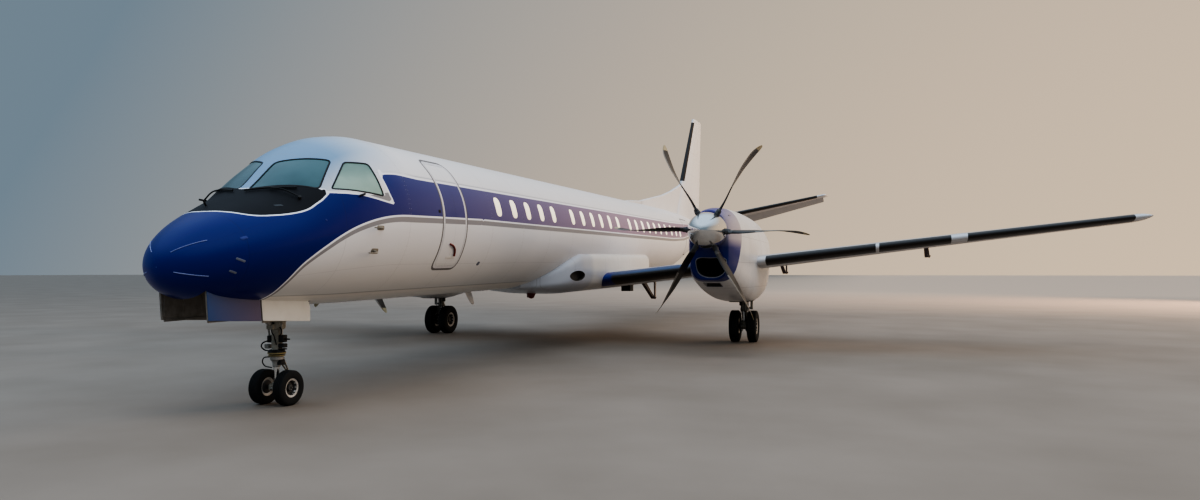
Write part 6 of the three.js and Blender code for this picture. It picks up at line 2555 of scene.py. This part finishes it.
@dataclass
class Gear:
    """The whole landing gear."""

    brake_radius: float = 0.145

    def brake(self, sign: int) -> Piece:
        """A brake pack beside the main axle's sleeve, with its pistons."""
        rows = [(0.062, 0.078), (0.066, 0.14), (0.070, self.brake_radius), (0.078, self.brake_radius),
                (0.080, 0.138), (0.084, 0.138), (0.086, self.brake_radius),
                (0.094, self.brake_radius), (0.096, 0.12), (0.096, 0.0775)]
        disc = turned_ring("brake", [(sign * a, r) for a, r in rows], MAIN_PAIR.centre, 64)
        pistons = []
        for k in range(8):
            turn = TAU * k / 8
            off = np.array([0, 0.112 * math.cos(turn), 0.112 * math.sin(turn)])
            ends = [MAIN_PAIR.centre + off + np.array([sign * a, 0, 0]) for a in (0.040, 0.068)]
            pistons.append(rod(LEG_PALE, 0.017, ends, 14))
        return joined("brake", [coat(disc, HUB_DARK.make()), *pistons])

    def build(self) -> None:
        """Every piece of the gear."""
        upper = joined("nose_leg_upper", NOSE_UPPER.pieces())
        ride_on(smooth(upper), "airframe", "gear_paint", "nose_leg")
        lower = joined("nose_leg_lower", [*NOSE_LOWER.pieces(), NOSE_PAIR.sleeve_ring()])
        ride_on(smooth(lower), "nose_steering_leg", "gear_paint", "nose_lower_leg")
        NOSE_PAIR.build("", {1: "nose_tyre_left", -1: "nose_tyre_right"})
        port = joined("main_leg_left_frame", [
            *MAIN_LEG.pieces(MAIN_PAIR.x, MAIN_PAIR.aft), MAIN_PAIR.sleeve_ring(),
            self.brake(-1), self.brake(1)])
        ride_pair(smooth(port), "airframe", "gear_paint", "main_leg_left")
        for side in Side:
            pair = replace(MAIN_PAIR, x=MAIN_PAIR.x * side.value)
            tyres = {side.value: f"main_tyre_outer_{side.word}",
                     -side.value: f"main_tyre_inner_{side.word}"}
            pair.build(f"_{side.word}", tyres)


def door_paint(aft: bool) -> Paint:
    """A nose gear door's outside: white aft, blue turning violet-grey forward, the violet-grey being a
    painted reflection.
    """
    g = Graph("aft_door_paint" if aft else "forward_door_paint")
    station = g.plus(g.axis("Y"), ORIGIN_STATION)
    dirt, fine = g.noise(5.0, 4.0), g.noise(60.0)
    # The forward door's blue turns violet-grey towards its rear: painted reflection.
    blue = g.mix(g.ramp(station, -1.45, -0.72), (0.030, 0.075, 0.22), (0.125, 0.105, 0.185))
    white = g.mix(g.ramp(dirt, 0.4, 0.75, 0.0, 0.25), (0.72, 0.72, 0.69), (0.52, 0.49, 0.46))
    paint = white if aft else blue
    g.set(Base_Color=paint, Roughness=g.ramp(fine, 0.3, 0.7, 0.30, 0.38), Coat_Weight=0.15,
          Coat_Roughness=0.08)
    g.bump(dirt, 0.0004, 0.1)
    return g.material


@dataclass
class NoseDoors:
    """The doors along both sides of the nose gear bay."""

    half: float = 0.3377
    front: float = -1.48
    rear: float = 0.195
    thickness: float = 0.028
    tuck: float = 0.050
    split: float = -0.675
    gap: float = 0.009
    foot_front: float = -1.220
    foot_rear: float = -1.338
    rake: float = 0.030
    corner_back: float = 0.055
    corner_down: float = 0.080
    bevel: float = 0.003

    def edge(self, station: float) -> float:
        """The skin's height over the bay's long edge."""
        width, _, bottom, widest = (float(v[0]) for v in SKIN.section([station]))
        return widest - (widest - bottom) * math.sqrt(1 - (0.338 / width) ** 2)

    def foot(self, station: float) -> float:
        """The height of the doors' foot."""
        share = (station - self.front) / (self.rear - self.front)
        return self.foot_front + share * (self.foot_rear - self.foot_front)

    def slab(self, corners: Rows, inner: float, outer: float, name: str) -> Piece:
        """A plate between two values of x with softened edges."""
        flat = rounded(corners, 0.014, 3)
        rings = []
        for x, inset in ((inner, self.bevel), (inner + self.bevel, 0.0),
                         (outer - self.bevel, 0.0), (outer, self.bevel)):
            ring = offset_outline(flat, -inset)
            rings.append(np.column_stack([np.full(len(ring), x), ring]))
        return loft(name, rings)

    def outlines(self) -> tuple[Points, Points]:
        """The corners of the forward and the aft door, in station and height."""
        top = {s: self.edge(s) + self.tuck for s in (self.front, self.split, self.rear)}
        start, end, gap = self.front + self.gap, self.rear - self.gap, self.gap
        forward = [
            (start, top[self.front]), (self.split - gap, top[self.split]),
            (self.split - gap + self.rake, self.foot(self.split)),
            (start + self.rake, self.foot(self.front)),
        ]
        aft = [
            (self.split + gap, top[self.split]), (end - self.corner_back, top[self.rear]),
            (end, self.edge(self.rear) - self.corner_down), (end, self.foot(self.rear)),
            (self.split + gap + self.rake, self.foot(self.split)),
        ]
        return np.array(forward), np.array(aft)

    def pans(self, corners: Points) -> list[Piece]:
        """Stiffening pans pressed into a door's inside."""
        low, high = corners.min(0), corners.max(0)
        count, rim = 3, 0.045
        step = (high[0] - low[0] - rim) / count
        inner = self.half - self.thickness
        made = []
        for k in range(count):
            a, b = low[0] + rim + k * step, low[0] + (k + 1) * step
            ring = rectangle(a, low[1] + 0.09, b, high[1] - 0.09)
            made.append(self.slab(ring, inner - 0.007, inner + 0.004, "pan"))
        rail = rectangle(low[0] + rim, low[1] + 0.035, high[0] - rim, low[1] + 0.060)
        made.append(self.slab(rail, inner - 0.009, inner + 0.004, "rail"))
        return made

    def build(self) -> None:
        """The doors of both sides."""
        inset = self.half - self.thickness / 2
        path = [(inset, s, self.edge(s) + self.tuck / 2)
                for s in (self.front + 3 * self.gap, self.rear - 9 * self.gap)]
        hinge = coat(bar("hinge", path, [0.012] * 2, Frame.BODY), LEG_PALE.make())
        lining = DOOR_LINING.make()
        parts = [hinge]
        for corners, paint in zip(self.outlines(), (door_paint(False), door_paint(True))):
            leaf = coat(self.slab(corners, self.half - self.thickness, self.half, "leaf"), lining)
            leaf.data.materials.append(paint)
            for face in leaf.data.polygons:
                face.material_index = int(face.normal.x > 0.5 or face.center.x > self.half - 0.002)
            parts += [leaf, *[coat(p, lining) for p in self.pans(corners)]]
        port = smooth(joined("nose_gear_door_left_leaf", parts))
        ride_pair(port, "airframe", "white_paint", "nose_gear_door_left")


# Small fittings.


def side_spot(station: float, height: float, lift: float = 0.0) -> tuple[Points, Points]:
    """A place over the port side of the skin, and the way out of the skin there."""
    share = SKIN.shares(np.array([[0.0, station, height]]))[1][0]
    turn = math.degrees(math.asin(min(max(share, -1.0), 1.0)))
    here, aft, up = SKIN.at([station, station + 0.01, station], [turn, turn, turn + 0.5])
    way = np.cross(aft - here, up - here)
    way /= np.linalg.norm(way)
    return here + way * lift, way


def tube(finish: Finish, radius: float, path: Rows, sides: int = 12) -> Piece:
    """A round bar along airframe points."""
    return coat(bar("tube", path, [radius] * len(path), Frame.BODY, sides), finish.make())


def skin_plate(
    finish: Finish, centre: tuple, size: tuple, lean: float, lift: float = 0.004
) -> Piece:
    """A thin plate that lies on the port side of the skin.

    Args:
        finish: Its finish.
        centre: The station and height of its middle.
        size: Its length and width.
        lean: Degrees by which its rear end is raised.
        lift: Its thickness over the skin.

    Returns:
        The plate.
    """
    c, s = math.cos(math.radians(lean)), math.sin(math.radians(lean))
    a, b = size[0] / 2, size[1] / 2
    flat = rounded(rectangle(-a, -b, a, b), b * 0.8, 3)
    turned_flat = np.stack([flat[:, 0] * c - flat[:, 1] * s, flat[:, 0] * s + flat[:, 1] * c], 1)
    rings = []
    for share, out in ((1.0, -0.008), (1.0, lift * 0.6), (0.85, lift), (0.05, lift * 1.1)):
        places = np.array(centre) + turned_flat * share
        rings.append(np.array([side_spot(x, y, out)[0] for x, y in places]))
    return coat(loft("plate", rings), finish.make())


def aerial(finish: Finish, foot: tuple, tip: float, chord: float, sweep: float) -> Piece:
    """A blade aerial that stands on, or hangs from, a place on the middle of the fuselage.

    Args:
        finish: Its finish.
        foot: The x, station and height of its foot.
        tip: The height of its end.
        chord: Its length at the foot.
        sweep: How far aft its end lies.

    Returns:
        The aerial.
    """
    thick = 0.016
    way = np.array([0.0, sweep, tip - foot[2]])
    flat = hoop(AXIS_Y * chord / 2, AXIS_X * thick / 2, 20)
    shares = ((0.0, 1.0), (0.35, 0.92), (0.8, 0.66), (0.95, 0.5), (1.0, 0.30))
    rings = [foot + way * share + flat * size for share, size in shares]
    return coat(loft("aerial", rings), finish.make())


@dataclass
class Fittings:
    """Probes, plates, strips, wipers, aerials, the beacon and the rivets."""

    # station, height, reach
    probes: tuple = ((0.565, -0.155, 0.075), (0.530, -0.450, 0.085))
    # finish, station, height, length, width, degrees
    plates: tuple = (
        ("blue", -1.239, -0.323, 0.070, 0.030, 20.0),
        ("grey", -1.304, -0.562, 0.095, 0.026, -24.0),
        ("grey", -1.353, -0.691, 0.080, 0.022, -22.0),
        ("soot", -0.693, 0.066, 0.075, 0.020, 6.0),
        ("blue", -0.290, -0.090, 0.022, 0.022, 0.0),
        ("grey", 3.488, -0.631, 0.080, 0.060, 0.0),
        ("pale", 2.480, -0.536, 0.270, 0.042, 0.0),
        ("dark", 1.985, 0.135, 0.060, 0.044, 0.0),
    )
    # Stations and heights along the door's handle.
    handle: tuple = ((2.334, -0.332), (2.443, -0.361), (2.524, -0.421), (2.564, -0.505))
    # x, station, height of both ends
    strips: tuple = (
        ((0.124, -1.739, -0.486), (0.391, -1.513, -0.353)),
        ((0.179, -1.752, -0.685), (0.431, -1.540, -0.731)),
    )
    # The wiper's blade and arm as x and station on the dark panel.
    wiper_blade: tuple = ((0.085, -0.655), (0.35, -0.535), (0.615, -0.385))
    wiper_arm: tuple = ((0.705, -0.452), (0.52, -0.505), (0.36, -0.545))
    rivet_pitch: float = 0.065
    rivet_size: float = 0.0035

    def probe(self, station: float, height: float, reach: float) -> list[Piece]:
        """A bent probe with its base plate."""
        foot, way = side_spot(station, height)
        ahead = np.array([0.0, -1.0, 0.0])
        mast = [foot - way * 0.01, foot + way * reach * 0.6, foot + way * reach * 0.9 + ahead * 0.02,
                foot + way * reach + ahead * 0.07, foot + way * reach + ahead * 0.20]
        radii = [0.019, 0.014, 0.012, 0.010, 0.007]
        made = coat(bar("mast", curve(mast, 5), np.interp(np.linspace(0, 4, 21), range(5), radii),
                        Frame.BODY, 14), PROBE_TIN.make())
        base = skin_plate(PROBE_TIN, (station + 0.02, height), (0.13, 0.060), 0.0, 0.009)
        return [made, base]

    def on_top(self, x: float, station: float, lift: float) -> Points:
        """A place over the upper side of the skin from its x and station."""
        width, top, _, widest = (float(v[0]) for v in SKIN.section([station]))
        height = widest + (top - widest) * math.sqrt(max(1 - (x / width) ** 2, 0.0))
        return side_spot(station, height, lift)[0]

    def wiper(self) -> list[Piece]:
        """A wiper parked along the windshield's foot."""
        blade = curve([self.on_top(x, s, 0.022) for x, s in self.wiper_blade], 8)
        arm = curve([self.on_top(x, s, d) for (x, s), d in zip(self.wiper_arm, (0.03, 0.045, 0.034))], 6)
        foot = self.on_top(*self.wiper_arm[0], -0.01)
        return [tube(DARK_PART, 0.011, blade), tube(DARK_PART, 0.009, arm),
                tube(DARK_PART, 0.020, [foot, arm[0] + (arm[0] - foot) * 0.2], 16)]

    def strip(self, first: tuple, last: tuple) -> Piece:
        """A thin strip along the nose between two places."""
        ends = np.array([first, last])
        turn, nose = SKIN.turn_of(ends), SKIN.table[0][0]
        k = np.linspace(*np.sqrt(ends[:, 1] - nose), 18)
        path = SKIN.at(nose + k**2, np.linspace(*turn, 18), 0.001)
        return tube(STRIP_PALE, 0.0055, path, 8)

    def hook(self) -> Piece:
        """The dark hook under the side window."""
        spots = ((0.36, 0.262, 0.0), (0.345, 0.255, 0.03), (0.30, 0.240, 0.034), (0.27, 0.232, 0.012))
        return tube(DARK_PART, 0.013, curve([side_spot(*spot)[0] for spot in spots], 6))

    def silhouette_probe(self) -> Piece:
        """The short black probe on the nose, to starboard."""
        path = [(-0.122, s, h)
                for s, h in ((-1.00, 0.03), (-1.045, 0.09), (-1.062, 0.118), (-1.12, 0.126))]
        return tube(DARK_PART, 0.011, curve(path, 5))

    def keep_rivet(self, body: Points) -> Points:
        """Tell which rivet places are clear of openings, doors, panes and windows."""
        x, station, height = np.abs(body[:, 0]), body[:, 1], body[:, 2]
        plain = Fuselage()
        clear = ~((x < 0.40) & (height < 0) & (station < 0.30))
        clear &= ~((station < 1.0) & (height > 0.1))
        for outline in plain.doors.values():
            (_, front, low), (_, rear, high) = outline.corners[0], outline.corners[2]
            sided = np.sign(body[:, 0]) == np.sign(outline.corners[0][0])
            clear &= ~(sided & (station > front - 0.06) & (station < rear + 0.06)
                       & (height > low - 0.06) & (height < high + 0.06))
        for middle in plain.windows:
            clear &= ~((np.abs(station - middle) < 0.16) & (np.abs(height - plain.window_height) < 0.2))
        return clear

    def rivets(self) -> None:
        """Rows of rivets along the joints of the skin."""
        rings = []
        for k in range(1, 18):
            for side in (-0.022, 0.022):
                station = 1.22 * k + side
                width, top, bottom, _ = (float(v[0]) for v in SKIN.section([station]))
                count = int(math.pi * (width + (top - bottom) / 2) / self.rivet_pitch)
                turn = 360.0 * np.arange(count) / count
                rings.append(np.stack([np.full(count, station), turn], 1))
        spots = np.concatenate(rings)
        here = SKIN.at(spots[:, 0], spots[:, 1], 0.0004)
        aft = SKIN.at(spots[:, 0] + 0.01, spots[:, 1])
        up = SKIN.at(spots[:, 0], spots[:, 1] + 0.5)
        way = np.cross(aft - here, up - here)
        way /= np.linalg.norm(way, axis=1)[:, None]
        keep = self.keep_rivet(here)
        row = points_object("rivet_spots", to_row(here[keep]), way[keep])
        made = repeated("fuselage_rivets", row, None, RIVET.make(), self.rivet_size)
        ride_on(made, "airframe", "white_paint")

    def build(self) -> None:
        """Every small fitting."""
        finishes = {"grey": PLATE_GREY, "pale": PALE_PLATE, "dark": DARK_PART,
                    "blue": PLATE_BLUE, "soot": PLATE_DARK}
        both = [piece for row in self.probes for piece in self.probe(*row)]
        both += [self.strip(*row) for row in self.strips] + self.wiper()
        port = joined("probes_and_wiper_left", both)
        ride_pair(smooth(port, 40.0), "airframe", "engine_steel")
        handle = curve([side_spot(s, h, 0.014)[0] for s, h in self.handle], 6)
        single = [skin_plate(finishes[word], (s, h), (a, b), lean)
                  for word, s, h, a, b, lean in self.plates]
        single += [tube(HANDLE_RED, 0.015, handle), self.hook(), self.silhouette_probe()]
        whole = joined("nose_fittings", single)
        ride_on(smooth(whole, 40.0), "airframe", "gear_paint")
        hung = [
            aerial(PALE_PLATE, (0.0, 4.90, -1.14), -1.400, 0.24, 0.20),
            block(DARK_PART, (0.84, 11.58, 1.165), (1.08, 11.88, 1.36)),
            coat(turned("beacon", ((-1.26, 0.095), (-1.322, 0.095), (-1.338, 0.08), (-1.36, 0.075),
                                   (-1.392, 0.060), (-1.412, 0.035), (-1.420, 0.0)),
                        (0.0, 7.75, 0.0), 2, Frame.BODY, 32), BEACON_RED.make()),
        ]
        aerials = joined("aerials_and_beacon", hung)
        ride_on(smooth(aerials, 40.0), "airframe", "white_paint")
        self.rivets()


# The set.


@dataclass
class Stage:
    """The floor, the lights and the camera."""

    camera_place: tuple = (7.141, -19.963, 1.662)
    yaw: float = 19.262
    pitch: float = 1.5755
    focal_share: float = 795.2 / 1200
    sensor: float = 36.0
    floor_half: float = 400.0
    look: str = "AgX - High Contrast"
    cool_sky: tuple = (0.165, 0.215, 0.260)
    warm_sky: tuple = (0.70, 0.545, 0.385)
    high_sky: tuple = (0.62, 0.78, 0.96)
    warm_way: tuple = (0.60, 0.79, -0.50)

    def build_floor(self) -> None:
        """A plain pale floor."""
        h = self.floor_half
        corners = [(x, y, 0) for x, y in rectangle(-h, -h, h, h)]
        floor = make_object("floor", corners, [(0, 1, 2, 3)])
        g = Graph("pale_floor")
        cloud = g.noise(0.5, 5.0)
        near = g.mix(g.ramp(cloud, 0.3, 0.7), (0.245, 0.205, 0.168), (0.29, 0.245, 0.205))
        away = g.times(g.ramp(g.axis("Y"), 12.0, 45.0), g.ramp(g.axis("X"), -40.0, 5.0))
        g.set(
            Base_Color=g.mix(away, near, (0.80, 0.57, 0.41)),
            Roughness=0.75,
        )
        floor.data.materials.append(g.material)

    def build_sky(self) -> None:
        """A sky that turns from cool to warm towards port and behind."""
        world = bpy.data.worlds.new("sky")
        bpy.context.scene.world = world
        world.use_nodes = True
        tree = world.node_tree
        node = tree.nodes.new
        way = node("ShaderNodeTexCoord").outputs["Generated"]
        lean, split = node("ShaderNodeVectorMath"), node("ShaderNodeSeparateXYZ")
        lean.operation = "DOT_PRODUCT"
        lean.inputs[1].default_value = self.warm_way
        share, rise = node("ShaderNodeMapRange"), node("ShaderNodeMapRange")
        share.inputs["From Min"].default_value = -0.1
        rise.inputs["From Min"].default_value = 0.36
        rise.inputs["From Max"].default_value = 0.80
        blend, dome = node("ShaderNodeMix"), node("ShaderNodeMix")
        blend.data_type = dome.data_type = "RGBA"
        blend.inputs[6].default_value = (*self.cool_sky, 1.0)
        blend.inputs[7].default_value = (*self.warm_sky, 1.0)
        dome.inputs[7].default_value = (*self.high_sky, 1.0)
        for source, target in (
            (way, lean.inputs[0]), (way, split.inputs[0]),
            (split.outputs["Z"], rise.inputs["Value"]), (rise.outputs[0], dome.inputs[0]),
            (lean.outputs["Value"], share.inputs["Value"]), (share.outputs[0], blend.inputs[0]),
            (blend.outputs[2], dome.inputs[6]),
            (dome.outputs[2], tree.nodes["Background"].inputs["Color"]),
        ):
            tree.links.new(source, target)

    def build_light(self) -> None:
        """A soft sky, with a warm lamp to port and behind and a cool one ahead."""
        self.build_sky()
        bpy.context.scene.view_settings.look = self.look
        lamps = (
            ("warm", (30.0, 24.0, 13.0), (0.0, 0.0, 2.0), 26.0, 7600.0, (1.0, 0.74, 0.52)),
            ("key", (14.0, -26.0, 30.0), (0.0, 0.0, 2.0), 30.0, 3600.0, (1.0, 0.96, 0.93)),
            ("cool", (-22.0, -22.0, 20.0), (0.0, -8.0, 2.0), 26.0, 1400.0, (0.62, 0.80, 1.0)),
        )
        for name, place, target, size, power, tint in lamps:
            data = bpy.data.lights.new(name, "AREA")
            data.shape = "DISK"
            data.size, data.energy, data.color = size, power, tint
            lamp = add_object(name, data)
            lamp.location = place
            lamp.visible_glossy = False
            lamp.rotation_euler = (Vector(target) - Vector(place)).to_track_quat("-Z", "Y").to_euler()

    def build_camera(self) -> None:
        """The photograph's camera."""
        data = bpy.data.cameras.new("camera")
        data.sensor_width = self.sensor
        data.lens = self.focal_share * self.sensor
        data.clip_end = 900.0
        camera = add_object("camera", data)
        camera.location = self.camera_place
        camera.rotation_euler = (math.radians(90 + self.pitch), 0.0, math.radians(self.yaw))
        bpy.context.scene.camera = camera

    def build(self) -> None:
        """Everything round the aircraft."""
        self.build_floor()
        self.build_light()
        self.build_camera()


def main() -> None:
    """Build the aircraft round its frame."""
    logging.basicConfig(level=logging.INFO, format="%(name)s %(message)s")
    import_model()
    Stage().build()
    Fuselage().build()
    Wings().build()
    Tail().build()
    Nacelles().build()
    for side in Side:
        Propeller().build(side)
    Gear().build()
    NoseDoors().build()
    Fittings().build()


if __name__ == "__main__":
    main()
